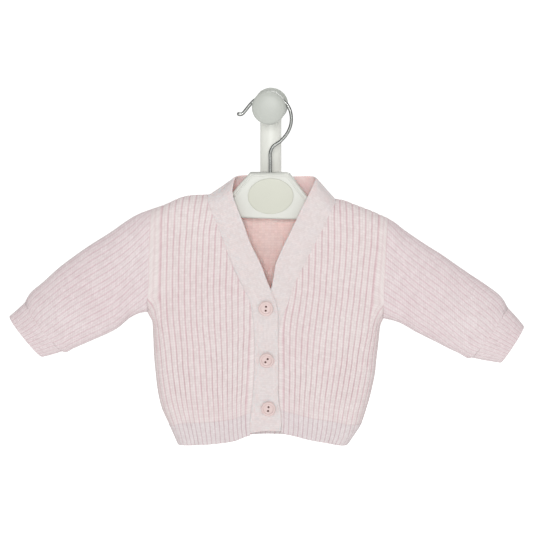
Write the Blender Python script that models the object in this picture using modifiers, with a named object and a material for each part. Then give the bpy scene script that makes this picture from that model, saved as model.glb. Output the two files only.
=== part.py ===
"""A baby's rib-knit cardigan on a moulded hanger, hung from a wall peg.

Metres, +Z up, -Y toward the viewer, +X to the viewer's right.  "Left" and "right" are the
viewer's.  The origin is on the flat back of the wall bar, on the peg's axis.
Every size below is in millimetres.
"""
import functools
import math
from collections import namedtuple

import bmesh
import bpy
from mathutils import Vector

MM = 0.001
SHARP_TURN = math.radians(32)
MERGE_WITHIN = 0.000001      # metres
GAP = 0.3                    # between pieces that meet

# ---- cloth -------------------------------------------------------------------------------
GROOVE = 1.3                 # wall of the rib knit in a groove
CREST = 2.3                  # and on a rib
BAND_WALL = 1.5              # wall of the plain knit band
MIDDLE = -30.0               # depth of the plane between front and back
SEAM_CLEAR = 0.42            # sideways, beside the band's slanting seam
CORNER_CLEAR = 1.4           # more, where the seam turns over the shoulder
CORNER_REACH = 12.0
SEARCH_LEVELS = (-325.0, -60.0)  # a column's ends are looked for between these
SEARCH_TIMES = 40
CORNER_RIBS = 2              # ribs beside a corner whose inside is finer
PULL_RIBS = 4                # ribs on each side that give way to the one at the neck's corner
PULL_FADE = 70.0             # and how far below the corner they do
HALF_DEPTH = 14.0            # plain inside of the body, from that plane
HALF = 0.5
SMALL = 0.05                 # step for the form's slope
SHOULDER_ROUND = 15.0        # the body rounds off over this much below its top line
SIDE_ROUND = 14.0            # and over this much in from its side seams
EASE_ABOVE = 75.0            # the ribs begin to draw round the sides this far above the underarm
FRONT_RIBS = 17
BACK_RIBS = 38
SLEEVE_RIBS = 32
HEM_FRONT_RIBS = 15
HEM_BACK_RIBS = 34
CUFF_RIBS = 22
RING_STEPS = 240             # fine steps along a section, between which its points are placed
HEM_DEEP = 23.5              # the hem rib, from its seam to its edge

# Where the rows of a panel lie, from its hem seam (0) to its top (1).  They crowd where the
# armhole's lower end and the shoulder are round.
PANEL_ROWS = (0.0, 0.15, 0.31, 0.44, 0.50, 0.526, 0.545, 0.59, 0.70, 0.81, 0.925, 0.962,
              0.985, 1.0)
HEM_ROWS = (0.0, 0.5, 1.0)
BAND_COLUMNS = (0.0, 0.17, 0.5, 0.83, 1.0)

# The outside of the shoulders and the collar, seen from the front.
Top = namedtuple("Top", "x level")
TOP_LINE = [
    Top(-123.0, -105.4), Top(-119.4, -104.2), Top(-103.5, -98.4), Top(-94.8, -94.3),
    Top(-86.2, -91.0), Top(-77.5, -89.5), Top(-63.0, -88.8), Top(-57.3, -86.8),
    Top(-46.8, -82.2), Top(-39.9, -75.0), Top(-34.3, -70.3), Top(44.4, -70.0),
    Top(48.0, -74.7), Top(55.1, -82.9), Top(64.5, -91.7), Top(73.6, -93.4),
    Top(79.6, -95.9), Top(89.6, -99.6), Top(101.6, -104.2), Top(117.8, -111.4),
]

# The inside of the armhole edges (down to the underarm) and of the side seams.
Side = namedtuple("Side", "level left right")
SIDES = [
    Side(-100.0, -119.2, 118.3), Side(-207.0, -122.8, 113.8), Side(-212.5, -120.2, 111.7),
    Side(-218.5, -117.3, 109.2), Side(-228.5, -116.8, 107.8), Side(-247.0, -116.1, 106.0),
    Side(-270.0, -114.6, 103.6), Side(-287.0, -112.8, 100.4), Side(-306.0, -109.0, 95.4),
    Side(-320.0, -103.0, 90.8), Side(-334.0, -97.1, 82.4), Side(-347.0, -91.4, 74.0),
]
UNDERARM_LEFT = -207.0
UNDERARM_RIGHT = -210.5
SOFT_REACH = 45.0            # ribs take the turns of a side over this much up and down
SOFT_STEPS = 6
SOFT_RIBS = 22.0             # but those this close to the side follow it
UNDERARM_NEAR = 0.5          # an edge is the armhole's down to this much below the underarm

# The lines that the last rib of each front follows above the V; below it they keep to the band.
Guide = namedtuple("Guide", "level left right")
GUIDES = [Guide(-95.0, 1.0, -4.0), Guide(-140.0, -11.0, 7.0), Guide(-216.0, -16.9, 11.7)]

# The hem's lower edge, front and back.
Hem = namedtuple("Hem", "x front back")
HEM = [
    Hem(-96.0, -347.0, -347.0), Hem(-90.0, -344.2, -346.2), Hem(-65.0, -342.6, -344.0),
    Hem(-38.0, -339.0, -340.5), Hem(-19.7, -332.4, -338.0), Hem(0.0, -329.0, -337.0),
    Hem(12.6, -328.4, -337.3), Hem(18.0, -330.4, -338.0), Hem(27.0, -332.5, -338.8),
    Hem(41.0, -336.0, -340.0), Hem(66.0, -340.2, -342.0), Hem(80.0, -342.8, -343.6),
]

# The seam of the back and the collar.
Neck = namedtuple("Neck", "x level")
BACK_NECK = [
    Neck(-62.0, -90.9), Neck(-57.0, -93.1), Neck(-44.0, -96.4), Neck(-22.0, -98.8),
    Neck(4.0, -99.8), Neck(30.0, -99.4), Neck(50.0, -98.0), Neck(60.0, -95.8),
    Neck(65.2, -94.3),
]

# Soft troughs pressed into the body; a negative depth is a swell.
Fold = namedtuple("Fold", "face x level long wide depth lean")
FOLDS = [
    Fold("front", -97.0, -150.0, 62.0, 13.0, 1.6, 6.0),
    Fold("front", -84.0, -262.0, 46.0, 16.0, 1.2, -14.0),
    Fold("front", -52.0, -300.0, 26.0, 17.0, -1.2, 4.0),
    Fold("front", 92.0, -158.0, 56.0, 12.0, 1.5, -8.0),
    Fold("front", 76.0, -270.0, 40.0, 15.0, 1.3, 12.0),
    Fold("front", 40.0, -302.0, 24.0, 13.0, -1.1, -5.0),
    Fold("back", -92.0, -165.0, 58.0, 14.0, 1.6, 8.0),
    Fold("back", 88.0, -172.0, 52.0, 13.0, 1.4, -9.0),
    Fold("back", -48.0, -262.0, 55.0, 18.0, 1.5, -6.0),
    Fold("back", 30.0, -280.0, 46.0, 16.0, 1.3, 5.0),
    Fold("back", 84.0, -268.0, 34.0, 13.0, 1.0, 10.0),
]

# The band, from the left front's hem round the neck to the right front's hem: the seam edge
# and the free edge of each section, and how far it is raised over the band beneath it.
# On a "fall" the two levels are drops below the top line; the collar's seam has its own table.
OVER = 1.8
Section = namedtuple("Section", "face seam_x seam_level free_x free_level lift")
BAND = [
    Section("front", -19.4, -329.5, 12.0, -326.5, OVER),
    Section("front", -19.4, -315.3, 12.3, -311.5, OVER),
    Section("front", -17.4, -297.0, 9.8, -296.0, OVER),
    Section("front", -15.8, -277.0, 9.2, -276.0, OVER),
    Section("front", -14.8, -252.8, 9.5, -251.5, OVER),
    Section("front", -15.3, -228.0, 9.0, -225.5, OVER),
    Section("front", -16.5, -210.5, 8.6, -203.5, OVER),
    Section("front", -19.2, -196.3, 4.6, -189.3, OVER),
    Section("front", -24.6, -183.8, -1.2, -175.3, OVER),
    Section("front", -33.4, -166.2, -8.4, -156.4, 0.9),
    Section("front", -42.3, -144.6, -18.8, -135.4, 0.2),
    Section("front", -49.6, -123.4, -26.0, -115.0, 0.0),
    Section("front", -55.8, -109.0, -32.6, -98.6, 0.0),
    Section("front", -60.0, -98.6, -36.4, -85.6, 0.0),
    Section("fall", -61.2, 4.0, -35.8, 5.0, 0.0),
    Section("fall", -61.7, 1.2, -35.0, 1.5, 0.0),
    Section("fall", -61.8, 0.0, -34.6, 0.0, 0.0),
    Section("collar", -61.0, 0.0, -33.4, -72.0, 0.0),
    Section("collar", -57.0, 0.0, -30.6, -71.4, 0.0),
    Section("collar", -43.0, 0.0, -24.0, -71.0, 0.0),
    Section("collar", -22.0, 0.0, -13.0, -71.4, 0.0),
    Section("collar", 5.0, 0.0, 5.0, -71.8, 0.0),
    Section("collar", 30.0, 0.0, 23.0, -71.6, 0.0),
    Section("collar", 50.0, 0.0, 35.0, -71.2, 0.0),
    Section("collar", 61.0, 0.0, 41.0, -71.4, 0.0),
    Section("collar", 64.2, 0.0, 43.8, -71.9, 0.0),
    Section("fall", 65.0, 0.0, 45.0, 0.0, 0.0),
    Section("fall", 64.9, 1.2, 44.8, 1.5, 0.0),
    Section("fall", 64.4, 4.0, 43.6, 5.0, 0.0),
    Section("front", 62.4, -101.0, 39.6, -85.6, 0.0),
    Section("front", 58.8, -108.0, 33.2, -97.8, 0.0),
    Section("front", 52.6, -122.2, 26.4, -112.6, 0.0),
    Section("front", 45.8, -135.0, 18.9, -128.4, 0.0),
    Section("front", 39.5, -147.6, 11.9, -142.9, 0.0),
    Section("front", 33.3, -160.2, 6.4, -156.4, 0.0),
    Section("front", 27.2, -172.9, 4.2, -169.5, 0.0),
    Section("front", 22.5, -184.0, 1.6, -181.2, 0.0),
    Section("front", 18.1, -198.3, -5.6, -194.4, 0.0),
    Section("front", 13.2, -211.0, -9.6, -208.5, 0.0),
    Section("front", 9.4, -229.0, -10.6, -228.0, 0.0),
    Section("front", 9.7, -252.8, -10.6, -252.4, 0.0),
    Section("front", 9.5, -277.0, -10.6, -277.0, 0.0),
    Section("front", 10.3, -297.0, -10.6, -297.0, 0.0),
    Section("front", 12.5, -315.0, -10.6, -314.0, 0.0),
    Section("front", 12.2, -327.0, -10.6, -327.0, 0.0),
]
COLLAR_DEPTH = -18.6         # the collar stands up behind the hanger's head
COLLAR_TURN = 12.0           # its free edge gets there this far in from the shoulder
COLLAR_ENDS = (-34.6, 45.0)
BAND_EDGE_DIP = 1.0          # the raised band comes down to its seam by this much

# Sections of the sleeves and cuffs, outside: the highest point, the lowest, half the
# thickness, and the part of the section's height over which each end is round.
Ring = namedtuple("Ring", "top_x top_level low_x low_level half_depth round_part")
SLEEVE_LEFT = [
    Ring(-119.7, -104.2, -123.1, -209.3, 16.3, 0.16),
    Ring(-128.5, -107.4, -130.6, -210.4, 17.0, 0.22),
    Ring(-137.5, -111.5, -140.0, -214.6, 17.6, 0.30),
    Ring(-161.2, -127.7, -155.9, -227.4, 18.6, 0.40),
    Ring(-187.8, -145.0, -171.4, -235.4, 18.8, 0.46),
    Ring(-213.0, -163.5, -187.4, -242.4, 18.2, 0.50),
    Ring(-232.2, -180.8, -201.0, -248.8, 17.6, 0.50),
    Ring(-244.2, -191.2, -207.8, -252.2, 16.6, 0.50),
    Ring(-249.8, -200.2, -211.2, -251.6, 14.4, 0.50),
]
CUFF_LEFT = [
    Ring(-250.6, -201.6, -212.2, -251.9, 14.0, 0.50),
    Ring(-258.8, -209.0, -221.4, -254.6, 13.4, 0.48),
    Ring(-265.9, -215.2, -232.3, -257.4, 12.4, 0.46),
]
SLEEVE_RIGHT = [
    Ring(118.3, -111.4, 114.1, -212.8, 16.3, 0.16),
    Ring(124.0, -114.9, 121.6, -214.6, 17.0, 0.22),
    Ring(132.4, -121.4, 130.5, -217.6, 17.6, 0.30),
    Ring(150.3, -133.9, 146.6, -226.6, 18.6, 0.40),
    Ring(174.7, -149.3, 162.5, -234.4, 18.8, 0.46),
    Ring(199.0, -166.0, 178.0, -242.2, 18.2, 0.50),
    Ring(220.4, -180.2, 191.5, -248.8, 17.6, 0.50),
    Ring(232.8, -190.9, 199.2, -252.8, 16.6, 0.50),
    Ring(238.4, -199.8, 202.8, -252.2, 14.4, 0.50),
]
CUFF_RIGHT = [
    Ring(238.8, -201.6, 203.8, -252.4, 14.0, 0.50),
    Ring(247.2, -210.0, 217.6, -254.8, 13.4, 0.48),
    Ring(254.8, -219.2, 231.6, -257.0, 12.4, 0.46),
]

# ---- buttons -----------------------------------------------------------------------------
# Half sections of the turned pieces, from the axis in front to the axis behind.
Turn = namedtuple("Turn", "radius depth")
BUTTON_PROFILE = [
    Turn(0.0, -1.6), Turn(4.2, -1.6), Turn(5.0, -2.0), Turn(5.5, -2.6), Turn(6.9, -2.6),
    Turn(7.5, -1.9), Turn(7.2, -0.5), Turn(5.9, 0.0), Turn(0.0, 0.0),
]
BUTTON_RADIUS = max(turn.radius for turn in BUTTON_PROFILE)
BUTTON_STEPS = 24
BUTTON_HOLE = 1.0            # radius
BUTTON_HOLE_APART = 4.0
BUTTON_HOLE_STEPS = 10
Button = namedtuple("Button", "x level turn")
BUTTONS = [Button(-3.1, -201.2, 4.0), Button(-2.4, -254.0, 35.0), Button(-0.6, -303.6, -6.0)]

# ---- hanger ------------------------------------------------------------------------------
HANGER_HALF = 6.0
HANGER_BEVEL = 3.5
HANGER_BEVEL_STEPS = 2
HANGER_BEVEL_FROM = math.radians(60)
ARM_CLEAR = CREST + 1.6      # the flat top of the arms, under the shoulders' top line
ARM_ROOT_DROP = 1.8
ARM_ROOT_DEEP = 20.0
ARM_TIP_DEEP = 10.0
ARM_ROOT_LEFT = -63.5
ARM_ROOT_RIGHT = 66.5
ARM_TIP_LEFT = -106.0
ARM_TIP_RIGHT = 103.0
ARM_POINTS = 7
Corner = namedtuple("Corner", "x level")
HEAD_TOP = [Corner(-36.6, -85.4), Corner(-20.0, -66.4), Corner(18.4, -66.0), Corner(37.0, -90.0)]
HEAD_LOW = [Corner(26.6, -113.2), Corner(-29.2, -112.0)]
BADGE_X = 0.8
BADGE_LEVEL = -89.6
BADGE_WIDE = 45.4
BADGE_TALL = 35.6
BADGE_THICK = 0.8
BADGE_TILT = math.radians(2)
BADGE_POINTS = 40

# ---- hook --------------------------------------------------------------------------------
WIRE = 1.7                   # radius
WIRE_SUNK = 12.0             # in the hanger's head
WIRE_HOLE_STEPS = 16
WIRE_ROUND = 2
HEAD_TOP_LEVEL = -66.4
STEM_X = 0.0
Bend = namedtuple("Bend", "x level size")
HOOK_ROUTE = [
    Bend(STEM_X, HEAD_TOP_LEVEL - WIRE_SUNK, 1.0), Bend(STEM_X, -56.0, 1.0),
    Bend(0.1, -46.5, 1.0), Bend(2.6, -40.8, 1.0), Bend(10.4, -34.9, 1.0),
    Bend(17.0, -27.0, 1.0), Bend(20.5, -18.2, 1.0), Bend(20.8, -9.6, 1.0),
    Bend(18.2, -1.0, 1.0), Bend(12.2, 5.9, 1.0), Bend(3.2, 9.6, 1.0), Bend(-6.4, 9.3, 1.0),
    Bend(-15.0, 5.9, 1.0), Bend(-20.6, 0.4, 1.0), Bend(-24.6, -4.6, 1.0),
    Bend(-27.6, -7.9, 1.05), Bend(-29.2, -8.4, 1.25), Bend(-31.2, -8.4, 1.25),
]
HOOK_STEPS = 2

# ---- peg and wall bar --------------------------------------------------------------------
BAR_X = -1.3                 # its middle, a little to the left of the peg's axis
BAR_HALF = 10.6
BAR_DEEP = 12.0
BAR_EDGE = 5.0               # straight part of its sides, before the round front
BAR_TOP = 13.0
BAR_LOW = -150.0
BAR_STEPS = 12
# A domed knob, the stub that the hook hangs on, and a flange against the bar.
PEG_PROFILE = [
    Turn(0.0, -58.8), Turn(6.0, -58.6), Turn(12.0, -58.0), Turn(12.7, -57.1),
    Turn(15.2, -55.6), Turn(16.6, -53.4), Turn(16.8, -51.0), Turn(16.0, -47.6),
    Turn(13.8, -46.0), Turn(8.7, -46.0), Turn(7.7, -45.0), Turn(7.7, -19.3),
    Turn(8.7, -18.3), Turn(14.6, -18.3), Turn(16.6, -16.7), Turn(17.0, -14.3),
    Turn(16.4, -12.3), Turn(0.0, -12.3),
]
PEG_STEPS = 32

COLOURS = {
    "rib_knit": (0.86, 0.72, 0.72, 1.0), "plain_knit": (0.87, 0.75, 0.74, 1.0),
    "button": (0.84, 0.66, 0.62, 1.0), "hanger": (0.78, 0.80, 0.76, 1.0),
    "badge": (0.65, 0.66, 0.57, 1.0), "steel": (0.60, 0.60, 0.60, 1.0),
    "peg": (0.70, 0.72, 0.67, 1.0), "bar": (0.80, 0.81, 0.78, 1.0),
}
ROUGHNESS = {"rib_knit": 0.9, "plain_knit": 0.9, "button": 0.35, "hanger": 0.4, "badge": 0.5,
             "steel": 0.2, "peg": 0.45, "bar": 0.45}


# ---- small helpers -----------------------------------------------------------------------
def read(table, column, at):
    """A column of a table, straight between its rows; the first column says where."""
    rows = sorted(table, key=lambda row: row[0])
    if at <= rows[0][0]:
        return getattr(rows[0], column)
    for low, high in zip(rows, rows[1:]):
        if at <= high[0]:
            part = (at - low[0]) / (high[0] - low[0])
            return getattr(low, column) + part * (getattr(high, column) - getattr(low, column))
    return getattr(rows[-1], column)


def swell(part):
    """Square of a quarter circle's height: 0 at an edge, 1 once the round part is passed."""
    return 1.0 - (1.0 - part) ** 2 if part < 1.0 else 1.0


def smooth_route(points, steps):
    """A smooth curve through unevenly spaced points, with so many steps between two of them."""
    ends = [points[0] * 2 - points[1]] + list(points) + [points[-1] * 2 - points[-2]]
    route = []
    for before, here, there, after in zip(ends, ends[1:], ends[2:], ends[3:]):
        first = math.sqrt((here - before).length)
        middle = math.sqrt((there - here).length)
        last = math.sqrt((after - there).length)
        leave = (here - before) / first - (there - before) / (first + middle)
        leave = (leave + (there - here) / middle) * middle
        arrive = (there - here) / middle - (after - here) / (middle + last)
        arrive = (arrive + (after - there) / last) * middle
        for step in range(steps):
            t = step / steps
            route.append(here * (2 * t ** 3 - 3 * t * t + 1) + leave * (t ** 3 - 2 * t * t + t)
                         + there * (3 * t * t - 2 * t ** 3) + arrive * (t ** 3 - t * t))
    return route + [points[-1].copy()]


def material(kind):
    found = bpy.data.materials.get(kind)
    if found:
        return found
    made = bpy.data.materials.new(kind)
    made.use_nodes = True
    shader = made.node_tree.nodes["Principled BSDF"]
    shader.inputs["Base Color"].default_value = COLOURS[kind]
    shader.inputs["Roughness"].default_value = ROUGHNESS[kind]
    shader.inputs["Metallic"].default_value = 1.0 if kind == "steel" else 0.0
    return made


def collection(name):
    made = bpy.data.collections.new(name)
    bpy.context.scene.collection.children.link(made)
    return made


def add_object(name, data, group, kind=None):
    made = bpy.data.objects.new(name, data)
    group.objects.link(made)
    if kind:
        data.materials.append(material(kind))
    return made


def mesh_from(name, bm, smooth=True):
    bmesh.ops.recalc_face_normals(bm, faces=bm.faces)
    mesh = bpy.data.meshes.new(name)
    bm.to_mesh(mesh)
    bm.free()
    if smooth:
        mesh.shade_smooth()
        mesh.set_sharp_from_angle(angle=SHARP_TURN)
    return mesh


def cut(target, cutter):
    cutter.hide_render = True
    cutter.display_type = "WIRE"
    boolean = target.modifiers.new("cut", "BOOLEAN")
    boolean.operation = "DIFFERENCE"
    boolean.solver = "EXACT"
    boolean.object = cutter


def rod(name, group, radius, length, place, direction, sides):
    """A cylinder centred on a place, for a cutter."""
    bm = bmesh.new()
    bmesh.ops.create_cone(bm, cap_ends=True, segments=sides, radius1=radius * MM,
                          radius2=radius * MM, depth=length * MM)
    made = add_object(name, mesh_from(name, bm), group)
    made.location = Vector(place) * MM
    made.rotation_mode = "QUATERNION"
    made.rotation_quaternion = Vector((0, 0, 1)).rotation_difference(Vector(direction))
    return made


# ---- the wall of a knitted piece ---------------------------------------------------------
def wall_mesh(name, outer, inner, kept, closed=False):
    """A closed wall between two grids; kept tells which outer columns the inner grid has."""
    bm = bmesh.new()
    outside = [[bm.verts.new(point * MM) for point in row] for row in outer]
    inside = [[bm.verts.new(point * MM) for point in row] for row in inner]
    marks = list(kept) + [len(outer[0])] if closed else list(kept)

    def skin(grid):
        for row, above in zip(grid, grid[1:]):
            around = len(row) if closed else len(row) - 1
            for k in range(around):
                other = (k + 1) % len(row)
                bm.faces.new((row[k], row[other], above[other], above[k]))

    def rim(outer_row, inner_row):
        for k, (first, last) in enumerate(zip(marks, marks[1:])):
            edge = [outer_row[i % len(outer_row)] for i in range(first, last + 1)]
            bm.faces.new(edge + [inner_row[(k + 1) % len(inner_row)], inner_row[k]])

    skin(outside)
    skin(inside)
    rim(outside[0], inside[0])
    rim(outside[-1], inside[-1])
    if not closed:
        for end in (0, -1):
            for low, high, low_in, high_in in zip(outside, outside[1:], inside, inside[1:]):
                bm.faces.new((low[end], high[end], high_in[end], low_in[end]))
    return mesh_from(name, bm)


# ---- the form of the body ----------------------------------------------------------------
def edge_distance(x, level, side):
    """Distance in from a side seam, or from the underarm point above it."""
    underarm = UNDERARM_LEFT if side == "left" else UNDERARM_RIGHT
    away = x - read(SIDES, "left", level) if side == "left" else read(SIDES, "right", level) - x
    return away if level < underarm else math.hypot(away, level - underarm)


def top_inside(x):
    return read(TOP_LINE, "level", x) - CREST


def fullness(x, level):
    """Square of the body's half depth at a point, as a part of the whole."""
    return (swell((top_inside(x) - level) / SHOULDER_ROUND)
            * swell(edge_distance(x, level, "left") / SIDE_ROUND)
            * swell(edge_distance(x, level, "right") / SIDE_ROUND))


def pressed(face, x, level):
    """How far the folds press the cloth in."""
    total = 0.0
    for fold in FOLDS:
        if fold.face == face:
            along = (level - fold.level) / fold.long
            across = (x - fold.x - fold.lean * along) / fold.wide
            total += fold.depth * math.exp(-along * along - across * across)
    return total


def body_point(face, x, level, lift, flat_edge=False):
    """A point on a face of the body, this far outside the plain inside of the cloth."""
    toward = -1.0 if face == "front" else 1.0
    full = max(fullness(x, level), 0.0)
    depth = (HALF_DEPTH - pressed(face, x, level)) * math.sqrt(full)
    slope = Vector((
        -(fullness(x + SMALL, level) - fullness(x - SMALL, level)) / (2 * SMALL),
        toward * 2 * math.sqrt(full) / HALF_DEPTH,
        -(fullness(x, level + SMALL) - fullness(x, level - SMALL)) / (2 * SMALL)))
    if flat_edge:
        slope.x = 0.0
    base = Vector((x, MIDDLE + toward * (depth + GAP / 2), level))
    return base + slope.normalized() * lift


# ---- band --------------------------------------------------------------------------------
def section_level(section, x, given):
    return top_inside(x) - given if section.face == "fall" else given


def on_ridge(section):
    return section.face == "fall" and section.seam_level == 0.0


def band_base(section, part, lift=0.0):
    """A point of the band on the form that it lies on; part runs 0 at its seam edge to 1."""
    x = section.seam_x + part * (section.free_x - section.seam_x)
    level = section.seam_level + part * (section.free_level - section.seam_level)
    if section.face == "collar":
        neck = read(BACK_NECK, "level", section.seam_x)
        seam = body_point("back", section.seam_x, neck, lift)
        turn = min(abs(section.free_x - end) for end in COLLAR_ENDS) / COLLAR_TURN
        depth = MIDDLE + (COLLAR_DEPTH - MIDDLE) * math.sqrt(swell(turn))
        return seam.lerp(Vector((section.free_x, depth, section.free_level)), part)
    point = body_point("front", x, section_level(section, x, level), lift)
    if on_ridge(section):
        point.y = MIDDLE
    return point


def band_lines(outside):
    """The band's lines from end to end, one for each of its columns, on one of its faces."""
    grid = [[band_base(section, part) for part in BAND_COLUMNS] for section in BAND]
    lines = []
    for c in range(len(BAND_COLUMNS)):
        line = []
        for k, (section, row) in enumerate(zip(BAND, grid)):
            dip = BAND_EDGE_DIP if c == 0 and section.lift > BAND_EDGE_DIP else 0.0
            lift = section.lift - dip + (BAND_WALL if outside else 0.0)
            if c == 0:
                line.append(band_base(section, 0.0, lift))
                continue
            across = row[min(c + 1, len(row) - 1)] - row[c - 1]
            along = grid[min(k + 1, len(grid) - 1)][c] - grid[max(k - 1, 0)][c]
            line.append(row[c] + across.cross(along).normalized() * lift)
        lines.append(smooth_route(line, 2))
    return lines


def make_band(group):
    outer = [list(row) for row in zip(*band_lines(True))]
    inner = [list(row) for row in zip(*band_lines(False))]
    kept = range(len(BAND_COLUMNS))
    add_object("front_band", wall_mesh("front_band", outer, inner, kept), group, "plain_knit")


Seam = namedtuple("Seam", "level x")


@functools.lru_cache(maxsize=None)
def band_seams():
    """The band's seam edge over the left front, the back and the right front."""
    line = smooth_route([band_base(section, 0.0) for section in BAND], 2)
    over = [point.y > MIDDLE + GAP for point in line]
    first = over.index(True)
    last = len(over) - over[::-1].index(True)
    left = [Seam(p.z, p.x) for p in line[:first]]
    right = [Seam(p.z, p.x) for p in line[last:]]
    back = [Neck(p.x, p.z) for p in line[first - 1:last + 1]]
    return left, back, right


# ---- columns of ribs over a face of the body ---------------------------------------------
def eased(along, level, underarm):
    """Sideways reach of so much cloth from a side seam, which first runs round the side."""
    above = min(max((level - underarm) / EASE_ABOVE, 0.0), 1.0)
    size = SIDE_ROUND * (0.5 + 0.5 * math.cos(math.pi * above))
    if size < SMALL:
        return along
    turn = along / size
    if turn < math.pi / 2:
        return size * (1.0 - math.cos(turn))
    return size + along - size * math.pi / 2


def spare(level, underarm):
    """Cloth that runs round a side, beyond what the front view shows."""
    reach = 10.0 * SIDE_ROUND  # well past the round part
    return reach - eased(reach, level, underarm)


def guide_x(side, level):
    """Where a front's last rib is: beside the band, or on its guide above the V."""
    left_seam, back_seam, right_seam = band_seams()
    if level > GUIDES[-1].level:
        return read(GUIDES, side, level)
    if side == "left":
        return read(left_seam, "x", level) - SEAM_CLEAR - SMALL
    return read(right_seam, "x", level) + SEAM_CLEAR + SMALL


def soft_side(side, level):
    """The side seam as the ribs follow it further in: its turns are spread up and down."""
    near = [level + SOFT_REACH * step / SOFT_STEPS for step in range(-SOFT_STEPS, SOFT_STEPS + 1)]
    return sum(read(SIDES, side, at) for at in near) / len(near)


def in_from_side(side, along, level):
    """Sideways place of so much cloth in from a side seam or an armhole."""
    underarm = UNDERARM_LEFT if side == "left" else UNDERARM_RIGHT
    inward = 1.0 if side == "left" else -1.0
    soft = soft_side(side, level)
    at_edge = max(1.0 - along / SOFT_RIBS, 0.0)
    edge = soft + (read(SIDES, side, level) - soft) * at_edge
    return edge + inward * eased(along, level, underarm)


def even_x(piece, part, level):
    """Where a column is at a level if the ribs are evenly spread."""
    left = soft_side("left", level) - spare(level, UNDERARM_LEFT)
    right = soft_side("right", level) + spare(level, UNDERARM_RIGHT)
    if piece == "front_left":
        return in_from_side("left", part * (guide_x("left", level) - left), level)
    if piece == "front_right":
        return in_from_side("right", part * (right - guide_x("right", level)), level)
    if part < HALF:
        return in_from_side("left", part * (right - left), level)
    return in_from_side("right", (1.0 - part) * (right - left), level)


@functools.lru_cache(maxsize=None)
def neck_pulls(piece):
    """Columns that are drawn over to meet the neck's corners: which, how far, at what level."""
    left_seam, back_seam, right_seam = band_seams()
    if piece == "back":
        corners = [(back_seam[0].x - SEAM_CLEAR, back_seam[0].level),
                   (back_seam[-1].x + SEAM_CLEAR, back_seam[-1].level)]
    elif piece == "front_left":
        corners = [(left_seam[-1].x - SEAM_CLEAR - CORNER_CLEAR, left_seam[-1].level)]
    else:
        corners = [(right_seam[0].x + SEAM_CLEAR + CORNER_CLEAR, right_seam[0].level)]
    ribs = BACK_RIBS if piece == "back" else FRONT_RIBS
    pulls = []
    for x, level in corners:
        nearest = min(range(ribs + 1), key=lambda k: abs(even_x(piece, k / ribs, level) - x))
        pulls.append((nearest, x - even_x(piece, nearest / ribs, level), level))
    return ribs, pulls


def column_x(piece, part, level):
    """Where a column of a panel is at a level; part runs 0 at one edge to 1 at the other."""
    x = even_x(piece, part, level)
    ribs, pulls = neck_pulls(piece)
    for column, shift, corner_level in pulls:
        near = max(1.0 - abs(part * ribs - column) / PULL_RIBS, 0.0)
        fade = max(1.0 - max(corner_level - level, 0.0) / PULL_FADE, 0.0)
        x += shift * near * fade
    return x


def seam_clear(x, level, corner):
    near = max(1.0 - math.hypot(x - corner.x, level - corner.level) / CORNER_REACH, 0.0)
    return SEAM_CLEAR + CORNER_CLEAR * near


def panel_top(piece, part):
    """The level at which a column meets the shoulder seam or the band."""
    left_seam, back_seam, right_seam = band_seams()
    low, high = SEARCH_LEVELS
    for _ in range(SEARCH_TIMES):
        level = (low + high) / 2
        x = column_x(piece, part, level)
        inside = level < top_inside(x)
        if piece == "front_left":
            clear = seam_clear(x, level, left_seam[-1])
            inside = inside and x < read(left_seam, "x", level) - clear
        elif piece == "front_right":
            clear = seam_clear(x, level, right_seam[0])
            inside = inside and x > read(right_seam, "x", level) + clear
        elif back_seam[0].x < x < back_seam[-1].x:
            corner = back_seam[0] if x < 0.0 else back_seam[-1]
            inside = inside and level < read(back_seam, "level", x) - seam_clear(x, level, corner)
        low, high = (level, high) if inside else (low, level)
    return low


def panel_low(piece, part, lift):
    """The level of a column at the hem's lower edge, or this far above it."""
    face = "back" if piece == "back" else "front"
    level = SEARCH_LEVELS[0]
    for _ in range(SEARCH_TIMES):
        level = read(HEM, face, column_x(piece, part, level)) + lift
    return level


def knitted_face(piece, parts, rows, low, high, lift_of):
    """A grid of points over one face of the body, row by row."""
    face = "back" if piece == "back" else "front"
    underarm = UNDERARM_RIGHT if piece == "front_right" else UNDERARM_LEFT
    bounds = [(low(part), high(part)) for part in parts]
    grid = []
    for row in rows:
        points = []
        for k, part in enumerate(parts):
            level = bounds[k][0] + row * (bounds[k][1] - bounds[k][0])
            on_armhole = ((part == 0.0 and level > underarm - UNDERARM_NEAR)
                          or (piece == "back" and part == 1.0
                              and level > UNDERARM_RIGHT - UNDERARM_NEAR))
            x = column_x(piece, part, level)
            points.append(body_point(face, x, level, lift_of(k), flat_edge=on_armhole))
        grid.append(points)
    return grid


def knitted_wall(name, piece, ribs, rows, low, high, group):
    fine = [k / (2 * ribs) for k in range(2 * ribs + 1)]
    corners = [column for column, shift, level in neck_pulls(piece)[1]]
    kept = [k for k in range(2 * ribs + 1)
            if k % 2 == 0 or min(abs(k / 2 - column) for column in corners) < CORNER_RIBS]
    outer = knitted_face(piece, fine, rows, low, high, lambda k: CREST if k % 2 else GROOVE)
    inner = knitted_face(piece, [fine[k] for k in kept], rows, low, high, lambda k: 0.0)
    add_object(name, wall_mesh(name, outer, inner, kept), group, "rib_knit")


def make_panels(group):
    for piece, ribs in (("front_left", FRONT_RIBS), ("front_right", FRONT_RIBS),
                        ("back", BACK_RIBS)):
        knitted_wall(piece, piece, ribs, PANEL_ROWS,
                     lambda part, piece=piece: panel_low(piece, part, HEM_DEEP + GAP),
                     lambda part, piece=piece: panel_top(piece, part), group)


def make_hems(group):
    for piece, ribs in (("front_left", HEM_FRONT_RIBS), ("front_right", HEM_FRONT_RIBS),
                        ("back", HEM_BACK_RIBS)):
        knitted_wall("hem_" + piece, piece, ribs, HEM_ROWS,
                     lambda part, piece=piece: panel_low(piece, part, 0.0),
                     lambda part, piece=piece: panel_low(piece, part, HEM_DEEP), group)


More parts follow.
